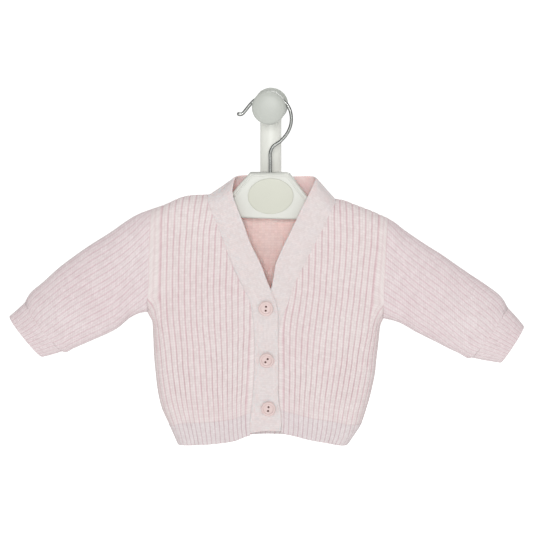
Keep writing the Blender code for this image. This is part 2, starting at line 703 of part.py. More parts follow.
# ---- sleeves and cuffs -------------------------------------------------------------------
def ring_outline(ring, lift, count):
    """Points of one section, evenly along it, starting at its lowest point."""
    top = Vector((ring.top_x, 0.0, ring.top_level))
    low = Vector((ring.low_x, 0.0, ring.low_level))
    up = (top - low).normalized()
    tall = (top - low).length - 2 * CREST
    start = low + up * CREST
    deep = ring.half_depth - CREST
    outline = []
    for k in range(RING_STEPS):
        turn = 2 * math.pi * k / RING_STEPS
        height = 0.5 - 0.5 * math.cos(turn)
        full = swell(height / ring.round_part) * swell((1 - height) / ring.round_part)
        outline.append(Vector((math.copysign(deep * math.sqrt(full), math.sin(turn)),
                               height * tall)))
    lengths = [0.0]
    for k in range(RING_STEPS):
        lengths.append(lengths[-1] + (outline[(k + 1) % RING_STEPS] - outline[k]).length)
    points = []
    for step in range(count):
        goal = lengths[-1] * step / count
        k = max(i for i in range(RING_STEPS) if lengths[i] <= goal + 1e-9)
        part = (goal - lengths[k]) / (lengths[k + 1] - lengths[k])
        here = outline[k].lerp(outline[(k + 1) % RING_STEPS], part)
        run = (outline[(k + 2) % RING_STEPS] - outline[k - 1]).normalized()
        outward = Vector((run.y, -run.x))
        place = here + outward * (lift(step) if callable(lift) else lift)
        points.append(start + up * place.y + Vector((0.0, MIDDLE + place.x, 0.0)))
    return points


def make_tube(name, rings, ribs, group):
    outer = [ring_outline(ring, lambda k: CREST if k % 2 else GROOVE, 2 * ribs)
             for ring in rings]
    inner = [ring_outline(ring, 0.0, ribs) for ring in rings]
    kept = range(0, 2 * ribs, 2)
    add_object(name, wall_mesh(name, outer, inner, kept, closed=True), group, "rib_knit")


def make_sleeves(group):
    make_tube("sleeve_left", SLEEVE_LEFT, SLEEVE_RIBS, group)
    make_tube("sleeve_right", SLEEVE_RIGHT, SLEEVE_RIBS, group)
    make_tube("cuff_left", CUFF_LEFT, CUFF_RIBS, group)
    make_tube("cuff_right", CUFF_RIGHT, CUFF_RIBS, group)


# ---- turned pieces -----------------------------------------------------------------------
def turned(name, profile, group, kind, steps):
    """A closed solid turned about Y from its half section."""
    bm = bmesh.new()
    verts = [bm.verts.new((turn.radius * MM, 0.0, -turn.depth * MM)) for turn in profile]
    for first, second in zip(verts, verts[1:]):
        bm.edges.new((first, second))
    mesh = bpy.data.meshes.new(name)
    bm.to_mesh(mesh)
    bm.free()
    made = add_object(name, mesh, group, kind)
    made.rotation_euler = (math.radians(90), 0.0, 0.0)
    screw = made.modifiers.new("turn", "SCREW")
    screw.axis = "Z"
    screw.angle = 2 * math.pi
    screw.steps = steps
    screw.render_steps = steps
    screw.use_merge_vertices = True
    screw.merge_threshold = MERGE_WITHIN
    screw.use_smooth_shade = True
    return made


def make_buttons(group, cutters):
    for number, button in enumerate(BUTTONS, start=1):
        name = "button_%d" % number
        made = turned(name, BUTTON_PROFILE, group, "button", BUTTON_STEPS)
        front = body_point("front", button.x, button.level, 0.0).y - OVER - BAND_WALL - GAP
        made.location = Vector((button.x, front, button.level)) * MM
        turn = math.radians(button.turn)
        for side in (-1.0, 1.0):
            apart = side * BUTTON_HOLE_APART / 2
            place = (button.x + apart * math.sin(turn), front,
                     button.level + apart * math.cos(turn))
            cut(made, rod("%s_hole%d" % (name, side), cutters, BUTTON_HOLE,
                          2 * BUTTON_RADIUS, place, (0, 1, 0), BUTTON_HOLE_STEPS))


# ---- hanger ------------------------------------------------------------------------------
def arm_line(root_x, tip_x):
    """Upper edge of an arm, from its root to its tip, under the shoulder's top line."""
    xs = [root_x + (tip_x - root_x) * k / (ARM_POINTS - 1) for k in range(ARM_POINTS)]
    line = [Vector((x, read(TOP_LINE, "level", x) - ARM_CLEAR)) for x in xs]
    line[0].y -= ARM_ROOT_DROP
    return line


def arm_low(line):
    low = []
    for k, point in enumerate(line):
        deep = ARM_ROOT_DEEP + (ARM_TIP_DEEP - ARM_ROOT_DEEP) * k / (len(line) - 1)
        low.append(Vector((point.x, point.y - deep)))
    return low


def make_hanger(group, cutters):
    left = arm_line(ARM_ROOT_LEFT, ARM_TIP_LEFT)
    right = arm_line(ARM_ROOT_RIGHT, ARM_TIP_RIGHT)
    head_top = [Vector(corner) for corner in HEAD_TOP]
    head_low = [Vector(corner) for corner in HEAD_LOW]
    outline = (head_top + right + arm_low(right)[::-1] + head_low + arm_low(left)
               + left[::-1])
    bm = bmesh.new()
    face = bm.faces.new([bm.verts.new((p.x * MM, (MIDDLE - HANGER_HALF) * MM, p.y * MM))
                         for p in outline])
    push = bmesh.ops.extrude_face_region(bm, geom=[face])
    moved = [part for part in push["geom"] if isinstance(part, bmesh.types.BMVert)]
    bmesh.ops.translate(bm, verts=moved, vec=(0.0, 2 * HANGER_HALF * MM, 0.0))
    hanger = add_object("hanger", mesh_from("hanger", bm, smooth=False), group, "hanger")
    bevel = hanger.modifiers.new("round", "BEVEL")
    bevel.width = HANGER_BEVEL * MM
    bevel.segments = HANGER_BEVEL_STEPS
    bevel.limit_method = "ANGLE"
    bevel.angle_limit = HANGER_BEVEL_FROM
    cut(hanger, rod("wire_hole", cutters, WIRE + GAP, 2 * WIRE_SUNK + 2 * GAP,
                    (STEM_X, MIDDLE, HEAD_TOP_LEVEL), (0, 0, 1), WIRE_HOLE_STEPS))
    badge = bpy.data.curves.new("badge", "CURVE")
    badge.dimensions = "2D"
    badge.fill_mode = "BOTH"
    badge.extrude = BADGE_THICK / 2 * MM
    spline = badge.splines.new("POLY")
    spline.points.add(BADGE_POINTS - 1)
    for k in range(BADGE_POINTS):
        turn = 2 * math.pi * k / BADGE_POINTS
        spline.points[k].co = (BADGE_WIDE / 2 * math.cos(turn) * MM,
                               BADGE_TALL / 2 * math.sin(turn) * MM, 0.0, 1.0)
    spline.use_cyclic_u = True
    made = add_object("hanger_badge", badge, group, "badge")
    made.rotation_euler = (math.radians(90), BADGE_TILT, 0.0)
    made.location = Vector((BADGE_X, MIDDLE - HANGER_HALF - GAP - BADGE_THICK / 2,
                            BADGE_LEVEL)) * MM


def make_hook(group):
    curve = bpy.data.curves.new("hook", "CURVE")
    curve.dimensions = "3D"
    curve.bevel_depth = WIRE * MM
    curve.bevel_resolution = WIRE_ROUND
    curve.use_fill_caps = True
    route = smooth_route([Vector((bend.x, bend.level, bend.size)) for bend in HOOK_ROUTE],
                         HOOK_STEPS)
    spline = curve.splines.new("POLY")
    spline.points.add(len(route) - 1)
    for point, (x, level, size) in zip(spline.points, route):
        point.co = (x * MM, MIDDLE * MM, level * MM, 1.0)
        point.radius = size
    add_object("hook", curve, group, "steel")


# ---- peg and bar -------------------------------------------------------------------------
def make_peg(group):
    turned("peg", PEG_PROFILE, group, "peg", PEG_STEPS)


def make_bar(group):
    """An upright with a flat back and a round front."""
    outline = [Vector((BAR_HALF, 0.0)), Vector((BAR_HALF, -BAR_EDGE))]
    for k in range(1, BAR_STEPS):
        turn = math.pi * k / BAR_STEPS
        outline.append(Vector((BAR_HALF * math.cos(turn),
                               -BAR_EDGE - (BAR_DEEP - BAR_EDGE) * math.sin(turn))))
    outline += [Vector((-BAR_HALF, -BAR_EDGE)), Vector((-BAR_HALF, 0.0))]
    bm = bmesh.new()
    face = bm.faces.new([bm.verts.new((p.x * MM, p.y * MM, BAR_LOW * MM)) for p in outline])
    push = bmesh.ops.extrude_face_region(bm, geom=[face])
    moved = [part for part in push["geom"] if isinstance(part, bmesh.types.BMVert)]
    bmesh.ops.translate(bm, verts=moved, vec=(0.0, 0.0, (BAR_TOP - BAR_LOW) * MM))
    bar = add_object("wall_bar", mesh_from("wall_bar", bm), group, "bar")
    bar.location.x = BAR_X * MM


def main():
    for old in list(bpy.data.objects):
        bpy.data.objects.remove(old, do_unlink=True)
    parts = collection("baby_cardigan_on_hanger")
    cutters = collection("cutters")
    make_panels(parts)
    make_hems(parts)
    make_sleeves(parts)
    make_band(parts)
    make_buttons(parts, cutters)
    make_hanger(parts, cutters)
    make_hook(parts)
    make_peg(parts)
    make_bar(parts)


main()
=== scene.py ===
"""Looks of a baby's rib-knit cardigan on its moulded hanger, hung from a wall peg.

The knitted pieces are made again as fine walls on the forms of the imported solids.  Tables and
forms are in millimetres, +Z up, -Y toward the viewer, and meshes are made in metres.  "Left"
and "right" are the viewer's.  The origin is on the wall bar's flat back, on the peg's axis.
"""

import functools
import math
from collections import namedtuple

import bmesh
import bpy
import numpy as np
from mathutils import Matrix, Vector


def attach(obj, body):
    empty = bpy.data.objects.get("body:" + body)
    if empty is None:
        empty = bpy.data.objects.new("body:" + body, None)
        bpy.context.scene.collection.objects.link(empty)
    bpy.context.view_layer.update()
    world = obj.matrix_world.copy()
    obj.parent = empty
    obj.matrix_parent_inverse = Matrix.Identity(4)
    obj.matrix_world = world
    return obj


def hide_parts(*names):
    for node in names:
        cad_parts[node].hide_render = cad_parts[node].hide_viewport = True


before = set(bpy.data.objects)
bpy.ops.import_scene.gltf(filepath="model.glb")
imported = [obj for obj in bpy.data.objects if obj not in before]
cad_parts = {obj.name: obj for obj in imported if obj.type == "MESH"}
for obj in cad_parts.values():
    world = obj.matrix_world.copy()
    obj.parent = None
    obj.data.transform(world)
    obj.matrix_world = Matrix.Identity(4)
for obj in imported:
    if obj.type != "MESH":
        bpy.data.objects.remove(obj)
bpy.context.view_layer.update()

MM = 0.001
HALF = 0.5
SMALL = 0.05                 # step for a form's slope


def rows_of(kind, *values):
    """A table whose rows are all of one kind."""
    return tuple(kind(*row) for row in values)


# ---- cloth, sizes shared by the pieces ----------------------------------------------------
GROOVE = 1.3                 # wall of the rib knit in a groove
CREST = 2.3                  # and on a rib
BAND_WALL = 1.5              # wall of the plain knit band
MIDDLE = -30.0               # depth of the plane between front and back
HALF_DEPTH = 14.0            # plain inside of the body, from that plane
SHOULDER_ROUND = 15.0        # the body rounds off over this much below its top line
SIDE_ROUND = 14.0            # and over this much in from its side seams
SIDE_GAP = 0.04              # between the front and the back along a side seam
EASE_ABOVE = 30.0            # the ribs begin to draw round the sides this far above the underarm
SEAM_CLEAR = -0.12           # from a panel to the band's slanting seam: it is sewn into it
CORNER_CLEAR = 0.1           # more, where the seam turns over the shoulder
CORNER_REACH = 12.0          # and round this much of that turn
SEARCH_LEVELS = (-325.0, -60.0)  # a column's ends are looked for between these
SEARCH_TIMES = 30
HEM_DEEP = 23.5              # the hem rib, from its seam to its edge
HEM_JOIN = 0.05              # between the hem rib and the panel above it
RIB_COUNTS = {"front_left": 20, "front_right": 19, "back": 42}
SIDE_RIBS = 4                # ribs that run round each side
SMOOTH_STRIP = 0.95          # what is left of them beside an armhole, where the knit is flat
STRIP_FADE = 14.0            # the ribs go flat over this much above the underarm
V_LEVEL = -228.0             # below this the last rib of a front keeps to the band's seam
V_LEAVE = 30.0               # and leaves it over this much above
LAST_RIB = 6.5               # to this far beyond the last groove, under the band
SLEEVE_RIBS = 32             # all round
CUFF_RIBS = 30
# Ribs that the knit turns round each arm, so far along it from the armhole.
Twist = namedtuple("Twist", "at left right")
TWISTS = rows_of(
    Twist,
    (0.0, 1.65, 2.9), (10.0, 0.75, 2.45), (20.0, 0.2, 2.2), (30.0, 0.0, 2.0),
    (60.0, 0.0, 1.4), (110.0, 0.0, 0.1), (150.0, 0.0, 0.0),
)
RING_STEPS = 240             # fine steps along a sleeve's section

# ---- knit ---------------------------------------------------------------------------------
# Places of a rib's points across it: close beside the narrow groove, wide on the broad crest.
RIB_STEPS = (0.0, 0.07, 0.17, 0.32, 0.5, 0.68, 0.83, 0.93)
RIB_SQUARE = 3.4             # how square a rib's crest is
RIB_DIP_WIDE = 0.11          # of the line between its two columns of stitches
# A rib: its height in millimetres, the share of it that the dip takes, and how high it is
# where it runs into a seam, as a share of the whole.
Rib = namedtuple("Rib", "high dip keep")
BODY_RIB = Rib(0.75, 0.3, 0.95)
DRAWN_RIB = Rib(0.34, 0.35, 0.9)
HEM_RIB = Rib(0.58, 0.35, 1.4)
SLEEVE_RIB = Rib(0.32, 0.4, 0.2)
DRAWN_LEVELS = (-285.0, -318.0)  # the body's ribs grow lower between these
INSIDE_RELIEF = 0.25         # the ribs seen from within
WANDER = 0.15                # how far a rib strays sideways, in millimetres
UNEVEN = 0.12                # and in and out
WANDER_LONG = 58.0           # over this length of it
STEADY_RIBS = 2              # beside a panel's edges they stray less
# The two waves of that: size, turns, and what a rib and a piece's seed move each by.
Wave = namedtuple("Wave", "size turns by_rib by_seed")
WAVES = rows_of(Wave, (0.6, 1.0, 0.55, 1.0), (0.4, 1.9, -0.35, 2.3))
END_FADE = 3.0               # a rib's height changes toward a seam over this much
COURSE = 2.63                # height of a row of stitches
FINE_COURSE = 1.9            # the same in the hem, the cuffs and the band
ROW_HIGH = 3.2               # spacing of the rows of points
WALES_PER_RIB = 2            # columns of stitches
RIB_WIDE = 5.4               # about, where a sleeve's ribs stray
RIM_COURSES = 0.4            # stitches counted over a wall's edge
EDGE_ROUND = 1.2             # a free edge is round over this much
EDGE_ROWS = (0.0, 0.2, 0.5)  # shares of that at which its rows of points lie
EDGE_KEEP = 0.3              # and this share of its half thickness is left at its end
WALL_SHARP = math.radians(75)  # a wall's sharper edges aren't smoothed
STITCH_MAP = "knit"

# Places of the band's points across it, close at both of its edges.
BAND_COLUMNS = (0.0, 0.02, 0.05, 0.12, 0.24, 0.38, 0.5, 0.62, 0.76, 0.88, 0.95, 0.98, 1.0)
BAND_STEP = 0.02             # its slope is taken over this part of its width, to each side
BAND_TURN = 0.12             # it leaves the body's own slope over this part
BAND_SMOOTH = 5              # steps from a section to the next
BAND_WALES = 14              # columns of stitches across it
BAND_END_RISE = 1.7          # its lower end rises by this much in the middle
BAND_WIDE = 24.0             # about, for the round of its free edge

# ---- steps round the turned and moulded pieces --------------------------------------------
BUTTON_STEPS = 64
HOLE_STEPS = 20
HOLE_SHARP = math.radians(50)
CORNER_CUT = 0.2             # of a half section's lines, each time its corners are cut
BUTTON_CUTS = 2              # so many times
THREAD_CUTS = 1
PEG_CUTS = 3
BADGE_STEPS = 96
BADGE_RINGS = (0.02, 0.2, 0.4, 0.6, 0.8, 0.93, 1.0)  # shares of its face
BADGE_EDGE_STEPS = 4
HOOK_STEPS = 14
WIRE_SIDES = 24
TIP_STEPS = 5
TIP_END = 0.02               # size of the last ring on the wire's rounded tip
LIP_STEPS = 6
LIP_SIDES = 12
PEG_STEPS = 96
BAR_STEPS = 48
BAR_ROUND_STEPS = 3
BAR_SHARP = math.radians(60)

# ---- finishes, real sizes in millimetres --------------------------------------------------
STITCH_SLANT = 0.3           # rise of a stitch's legs, in rows
STITCH_UNLIKE = 0.14         # no two stitches catch the light alike
LOOP_STEEP = 2.4             # how soon a stitch rises from the hollow below it
LOOP_SOFT = 0.2              # and how softly its top rounds off
PATCH = 9.0                  # length of knit over which the grooves look alike
FIBRE = 0.7                  # tufts of yarn; the fibres themselves are too fine to show
FIBRE_SHARE = 0.35           # of them in the relief
CLOUD = 55.0                 # slow change of colour
CLOUD_SHARE = 0.25           # of it in the grooves' darkness
YARN_REACH = 2.5             # how far light passes through the yarn
MOULD_WAVE = 30.0            # slow unevenness of a mould
MOULD_SHARE = 3.0            # of it in the relief, beside the grain
GLOSS_DRIFT = 0.05           # how far a moulding's roughness strays
THREAD_TWIST = 0.66          # from a turn of the thread to the next
THREAD_DEEP = 0.1
WAVE_SPAN = math.pi / 10     # a wave texture's period at a scale of 1
WIRE_GRAIN = 0.5
WIRE_DEEP = 0.001

# ---- camera and light ---------------------------------------------------------------------
CAMERA_TURN = math.radians(4.0)
CAMERA_RAISE = math.radians(9.0)
CAMERA_FAR = 2200.0
CAMERA_TARGET = (-3.2, -38.0, -160.2)
FRAME_WIDE = 533.0           # millimetres that the picture spans at the target
SENSOR = 36.0
CAMERA_SEES = 500.0          # metres
FLOOR_LEVEL = -900.0
FLOOR_SIZE = 120.0           # metres
FLOOR_SQUARES = 8
FLOOR_GRAIN = 500.0          # millimetres
WORLD_LIGHT = 0.5
# The floor's own glow below is painted light.
GLOW_FROM = (0.9, 1.7)        # metres behind the wall, where the floor brightens
FLOOR_GLOW = (0.1, 0.65)     # its own light in front of that and beyond it
# Lamps: name, place and size in metres, watts.
LAMPS = (
    ("front_softbox", (0.1, -3.0, 0.42), 0.9, 48.0),
    ("top_softbox", (0.0, 0.15, 2.0), 1.2, 12.0),
    ("back_softbox", (0.6, 2.6, 1.2), 1.6, 18.0),
)

# ---- lines of the form --------------------------------------------------------------------
# The outside of the shoulders and the collar, seen from the front.
Top = namedtuple("Top", "x level")
TOP_LINE = rows_of(
    Top,
    (-123.0, -105.4), (-119.4, -104.2), (-103.5, -98.4), (-94.8, -94.3),
    (-86.2, -91.0), (-77.5, -89.5), (-63.0, -88.8), (-57.3, -86.8),
    (-46.8, -82.2), (-39.9, -75.0), (-34.3, -70.3), (44.4, -70.0),
    (48.0, -74.7), (55.1, -82.9), (64.5, -91.7), (73.6, -93.4),
    (79.6, -95.9), (89.6, -99.6), (101.6, -104.2), (117.8, -111.4),
)

# The inside of the armhole edges (down to the underarm) and of the side seams.
Side = namedtuple("Side", "level left right")
SIDES = rows_of(
    Side,
    (-100.0, -119.2, 118.3), (-207.0, -122.8, 113.8), (-212.5, -120.2, 111.7),
    (-218.5, -117.3, 109.2), (-228.5, -116.8, 107.8), (-247.0, -116.1, 106.0),
    (-270.0, -114.6, 103.6), (-287.0, -112.8, 100.4), (-306.0, -109.0, 95.4),
    (-320.0, -103.0, 90.8), (-334.0, -97.1, 82.4), (-347.0, -91.4, 74.0),
)
UNDERARM = {"left": -207.0, "right": -210.5}  # levels

# Places of the fourth, eighth, twelfth, sixteenth and last groove in from each side seam.
Grooves = namedtuple("Grooves", "level fourth eighth twelfth sixteenth last")
GROOVE_COUNTS = (4, 8, 12, 16)
GROOVES_LEFT = rows_of(
    Grooves,
    (-95.0, -105.7, -80.0, -53.9, -28.5, -9.5),
    (-108.0, -107.1, -81.5, -56.7, -31.0, -12.0),
    (-123.0, -107.8, -82.6, -59.6, -34.3, -15.3),
    (-138.0, -108.0, -83.7, -60.4, -35.8, -17.0),
    (-154.0, -108.7, -84.6, -60.9, -36.3, -18.0),
    (-184.0, -109.4, -85.1, -61.9, -37.3, -18.8),
    (-214.0, -108.6, -84.4, -61.2, -37.1, -19.4),
    (-230.0, -106.4, -83.5, -60.0, -36.8, -19.9),
    (-245.0, -104.6, -82.5, -58.8, -36.6, -20.8),
    (-260.0, -103.3, -81.8, -57.9, -36.9, -21.3),
    (-276.0, -101.6, -80.6, -57.2, -37.0, -22.3),
    (-291.0, -99.2, -79.4, -56.6, -37.2, -23.4),
    (-307.0, -95.7, -77.5, -55.8, -37.0, -24.2),
    (-322.0, -91.6, -74.9, -55.1, -36.6, -23.8),
    (-347.0, -85.6, -70.6, -53.0, -34.4, -20.6),
)
GROOVES_RIGHT = rows_of(
    Grooves,
    (-95.0, 105.9, 80.6, 58.0, 33.0, 21.0),
    (-107.0, 107.5, 82.7, 58.7, 33.9, 22.3),
    (-122.0, 108.1, 83.4, 58.9, 33.9, 22.4),
    (-137.0, 107.4, 83.1, 58.9, 33.8, 22.5),
    (-152.0, 105.9, 82.4, 58.4, 33.5, 22.5),
    (-167.0, 104.3, 81.0, 57.4, 33.3, 22.3),
    (-182.0, 103.1, 79.4, 56.6, 32.8, 21.2),
    (-198.0, 101.8, 77.8, 55.0, 31.0, 18.6),
    (-213.0, 99.9, 76.2, 53.3, 28.6, 15.6),
    (-228.0, 97.6, 74.9, 51.7, 27.0, 14.6),
    (-243.0, 95.0, 73.8, 50.2, 26.5, 14.7),
    (-259.0, 92.9, 72.3, 48.8, 26.4, 15.1),
    (-274.0, 90.7, 70.2, 47.5, 26.2, 15.2),
    (-289.0, 87.9, 67.6, 46.3, 25.7, 15.0),
    (-305.0, 84.8, 65.2, 44.9, 25.3, 15.0),
    (-320.0, 81.8, 63.6, 44.0, 24.9, 15.0),
    (-332.0, 78.4, 61.6, 42.7, 23.8, 14.1),
    (-345.0, 70.6, 56.8, 40.0, 22.4, 13.2),
)

# The hem's lower edge, front and back.
Hem = namedtuple("Hem", "x front back")
HEM = rows_of(
    Hem,
    (-96.0, -347.0, -347.0), (-90.0, -344.2, -346.2), (-65.0, -342.6, -344.0),
    (-38.0, -339.0, -340.5), (-19.7, -332.4, -338.0), (0.0, -329.0, -337.0),
    (12.6, -328.4, -337.3), (18.0, -330.4, -338.0), (27.0, -332.5, -338.8),
    (41.0, -336.0, -340.0), (66.0, -340.2, -342.0), (80.0, -342.8, -343.6),
)

# The seam of the back and the collar.
Neck = namedtuple("Neck", "x level")
BACK_NECK = rows_of(
    Neck,
    (-62.0, -90.9), (-57.0, -93.1), (-44.0, -96.4), (-22.0, -98.8),
    (4.0, -99.8), (30.0, -99.4), (50.0, -98.0), (60.0, -95.8),
    (65.2, -94.3),
)

# Soft troughs pressed into the body; a negative depth is a swell.
Fold = namedtuple("Fold", "face x level long wide depth lean")
FOLDS = rows_of(
    Fold,
    ("front", -97.0, -150.0, 62.0, 13.0, 1.6, 6.0),
    ("front", -84.0, -262.0, 46.0, 16.0, 1.2, -14.0),
    ("front", -52.0, -300.0, 26.0, 17.0, -1.2, 4.0),
    ("front", 92.0, -158.0, 56.0, 12.0, 1.5, -8.0),
    ("front", 76.0, -270.0, 40.0, 15.0, 1.3, 12.0),
    ("front", 40.0, -302.0, 24.0, 13.0, -1.1, -5.0),
    ("back", -92.0, -165.0, 58.0, 14.0, 1.6, 8.0),
    ("back", 88.0, -172.0, 52.0, 13.0, 1.4, -9.0),
    ("back", -48.0, -262.0, 55.0, 18.0, 1.5, -6.0),
    ("back", 30.0, -280.0, 46.0, 16.0, 1.3, 5.0),
    ("back", 84.0, -268.0, 34.0, 13.0, 1.0, 10.0),
)

# The band, from the left front's hem round the neck to the right front's hem: the seam edge
# and the free edge of each section, and how far it is raised over the band beneath it.
# On a "fall" the two levels are drops below the top line; the collar's seam has its own table.
OVER = 1.8
Section = namedtuple("Section", "face seam_x seam_level free_x free_level lift")
BAND = rows_of(
    Section,
    ("front", -19.4, -329.5, 12.0, -326.5, OVER),
    ("front", -19.4, -315.3, 12.3, -311.5, OVER),
    ("front", -17.4, -297.0, 9.8, -296.0, OVER),
    ("front", -15.8, -277.0, 9.2, -276.0, OVER),
    ("front", -14.8, -252.8, 9.5, -251.5, OVER),
    ("front", -15.3, -228.0, 9.0, -225.5, OVER),
    ("front", -16.5, -210.5, 8.6, -203.5, OVER),
    ("front", -19.2, -196.3, 4.6, -189.3, OVER),
    ("front", -24.6, -183.8, -1.2, -175.3, OVER),
    ("front", -33.4, -166.2, -8.4, -156.4, 0.9),
    ("front", -42.3, -144.6, -18.8, -135.4, 0.2),
    ("front", -49.6, -123.4, -26.0, -115.0, 0.0),
    ("front", -55.8, -109.0, -32.6, -98.6, 0.0),
    ("front", -60.0, -98.6, -36.4, -85.6, 0.0),
    ("fall", -61.2, 4.0, -35.8, 5.0, 0.0),
    ("fall", -61.7, 1.2, -35.0, 1.5, 0.0),
    ("fall", -61.8, 0.0, -34.6, 0.0, 0.0),
    ("collar", -61.0, 0.0, -33.4, -72.0, 0.0),
    ("collar", -57.0, 0.0, -30.6, -71.4, 0.0),
    ("collar", -43.0, 0.0, -24.0, -71.0, 0.0),
    ("collar", -22.0, 0.0, -13.0, -71.4, 0.0),
    ("collar", 5.0, 0.0, 5.0, -71.8, 0.0),
    ("collar", 30.0, 0.0, 23.0, -71.6, 0.0),
    ("collar", 50.0, 0.0, 35.0, -71.2, 0.0),
    ("collar", 61.0, 0.0, 41.0, -71.4, 0.0),
    ("collar", 64.2, 0.0, 43.8, -71.9, 0.0),
    ("fall", 65.0, 0.0, 45.0, 0.0, 0.0),
    ("fall", 64.9, 1.2, 44.8, 1.5, 0.0),
    ("fall", 64.4, 4.0, 43.6, 5.0, 0.0),
    ("front", 62.4, -101.0, 39.6, -85.6, 0.0),
    ("front", 58.8, -108.0, 33.2, -97.8, 0.0),
    ("front", 52.6, -122.2, 26.4, -112.6, 0.0),
    ("front", 45.8, -135.0, 18.9, -128.4, 0.0),
    ("front", 39.5, -147.6, 11.9, -142.9, 0.0),
    ("front", 33.3, -160.2, 6.4, -156.4, 0.0),
    ("front", 27.2, -172.9, 4.2, -169.5, 0.0),
    ("front", 22.5, -184.0, 1.6, -181.2, 0.0),
    ("front", 18.1, -198.3, -5.6, -194.4, 0.0),
    ("front", 13.2, -211.0, -9.6, -208.5, 0.0),
    ("front", 9.4, -229.0, -10.6, -228.0, 0.0),
    ("front", 9.7, -252.8, -10.6, -252.4, 0.0),
    ("front", 9.5, -277.0, -10.6, -277.0, 0.0),
    ("front", 10.3, -297.0, -10.6, -297.0, 0.0),
    ("front", 12.5, -315.0, -10.6, -314.0, 0.0),
    ("front", 12.2, -327.0, -10.6, -327.0, 0.0),
)
COLLAR_DEPTH = -18.6         # the collar stands up behind the hanger's head
COLLAR_TURN = 12.0           # its free edge gets there this far in from the shoulder
COLLAR_ENDS = (-34.6, 45.0)
BAND_EDGE_DIP = 1.3          # the raised band comes down to its seam by this much

# Sections of the sleeves and cuffs, outside: the highest point, the lowest, half the
# thickness, and the part of the section's height over which each end is round.
Ring = namedtuple("Ring", "top_x top_level low_x low_level half_depth round_part")
SLEEVE_LEFT = rows_of(
    Ring,
    (-118.8, -103.8, -122.4, -209.3, 16.3, 0.16),
    (-128.5, -107.4, -130.6, -210.4, 17.0, 0.22),
    (-137.5, -111.5, -140.0, -214.6, 17.6, 0.30),
    (-161.2, -127.7, -155.9, -227.4, 18.6, 0.40),
    (-187.8, -145.0, -171.4, -235.4, 18.8, 0.46),
    (-213.0, -163.5, -187.4, -242.4, 18.2, 0.50),
    (-232.2, -180.8, -201.0, -248.8, 17.6, 0.50),
    (-244.2, -191.2, -207.8, -252.2, 15.6, 0.50),
    (-249.6, -200.4, -211.4, -251.4, 15.0, 0.50),
)
CUFF_LEFT = rows_of(
    Ring,
    (-249.6, -200.4, -211.4, -251.4, 15.0, 0.50),
    (-258.8, -209.0, -221.4, -254.6, 13.4, 0.48),
    (-265.9, -215.2, -232.3, -257.4, 12.4, 0.46),
)
SLEEVE_RIGHT = rows_of(
    Ring,
    (117.9, -111.4, 113.4, -212.8, 16.3, 0.16),
    (124.0, -114.9, 121.6, -214.6, 17.0, 0.22),
    (132.4, -121.4, 130.5, -217.6, 17.6, 0.30),
    (150.3, -133.9, 146.6, -226.6, 18.6, 0.40),
    (174.7, -149.3, 162.5, -234.4, 18.8, 0.46),
    (199.0, -166.0, 178.0, -242.2, 18.2, 0.50),
    (220.4, -180.2, 191.5, -248.8, 17.6, 0.50),
    (232.8, -190.9, 199.2, -252.8, 15.6, 0.50),
    (238.2, -200.1, 203.0, -252.0, 15.0, 0.50),
)
CUFF_RIGHT = rows_of(
    Ring,
    (238.2, -200.1, 203.0, -252.0, 15.0, 0.50),
    (247.2, -210.0, 217.6, -254.8, 13.4, 0.48),
    (254.8, -219.2, 231.6, -257.0, 12.4, 0.46),
)

# ---- buttons, hanger, hook, peg and bar ---------------------------------------------------
# Half sections of the turned pieces, from the axis in front to the axis behind.
Turn = namedtuple("Turn", "radius depth")
BUTTON_PROFILE = rows_of(
    Turn,
    (0.02, -1.45), (3.2, -1.45), (4.6, -1.55), (5.3, -2.4), (5.8, -2.65),
    (6.5, -2.6), (7.3, -1.9), (7.5, -1.2), (7.2, -0.5), (5.9, -0.05),
    (4.0, 0.0), (0.02, 0.0),
)
BUTTON_HOLE = 1.1            # radius
BUTTON_HOLE_APART = 4.0
DRILL_HALF = 64.0            # half the length of what cuts it, well through the button
BUTTON_CLEAR = 0.15          # between the band and the button
THREAD_PROFILE = rows_of(
    Turn,
    (0.02, -1.0), (0.4, -1.0), (0.9, -0.8), (1.04, -0.5), (1.04, 0.1),
    (0.02, 0.1),
)
Button = namedtuple("Button", "x level turn")
BUTTONS = rows_of(Button, (-3.1, -201.2, 4.0), (-2.4, -254.0, 35.0), (-0.6, -303.6, 7.0))

HANGER_HALF = 6.0            # half its thickness
HANGER_BEVEL = 2.4
HANGER_BEVEL_STEPS = 6
HANGER_BEVEL_FROM = math.radians(50)
ARM_CLEAR = CREST + 1.6      # from the shoulders' top line down to the arms
ARM_ROOT_DROP = 1.8          # more, where an arm leaves the head
ARM_ROOT_DEEP = 20.0         # from its upper edge to its lower one
ARM_TIP_DEEP = 10.0
ARM_ROOT_LEFT = -63.5
ARM_ROOT_RIGHT = 66.5
ARM_TIP_LEFT = -106.0
ARM_TIP_RIGHT = 103.0
ARM_POINTS = 11
Corner = namedtuple("Corner", "x level")
HEAD_TOP = rows_of(Corner, (-36.6, -85.4), (-20.0, -66.4), (18.4, -66.0), (37.0, -90.0))
HEAD_LOW = rows_of(Corner, (26.6, -113.2), (-29.2, -112.0))
BADGE_X = 0.8
BADGE_LEVEL = -89.6
BADGE_WIDE = 45.4
BADGE_TALL = 35.6
BADGE_THICK = 0.9
BADGE_EDGE = 0.5
BADGE_DOME = 0.35
BADGE_TILT = math.radians(2)
# The middle line of the lip along the head's upper edges, half its width and its height.
LIP = rows_of(
    Corner,
    (-36.0, -90.6), (-27.0, -80.0), (-18.6, -70.2), (-16.0, -69.4), (0.0, -69.3),
    (14.6, -69.2), (17.2, -70.0), (25.4, -80.6), (36.4, -95.0),
)
LIP_HALF = 1.0
LIP_HIGH = 0.7

WIRE = 1.7                   # radius
WIRE_SUNK = 12.0             # in the hanger's head
HEAD_TOP_LEVEL = -66.4       # of the head, at the wire
STEM_X = 0.0
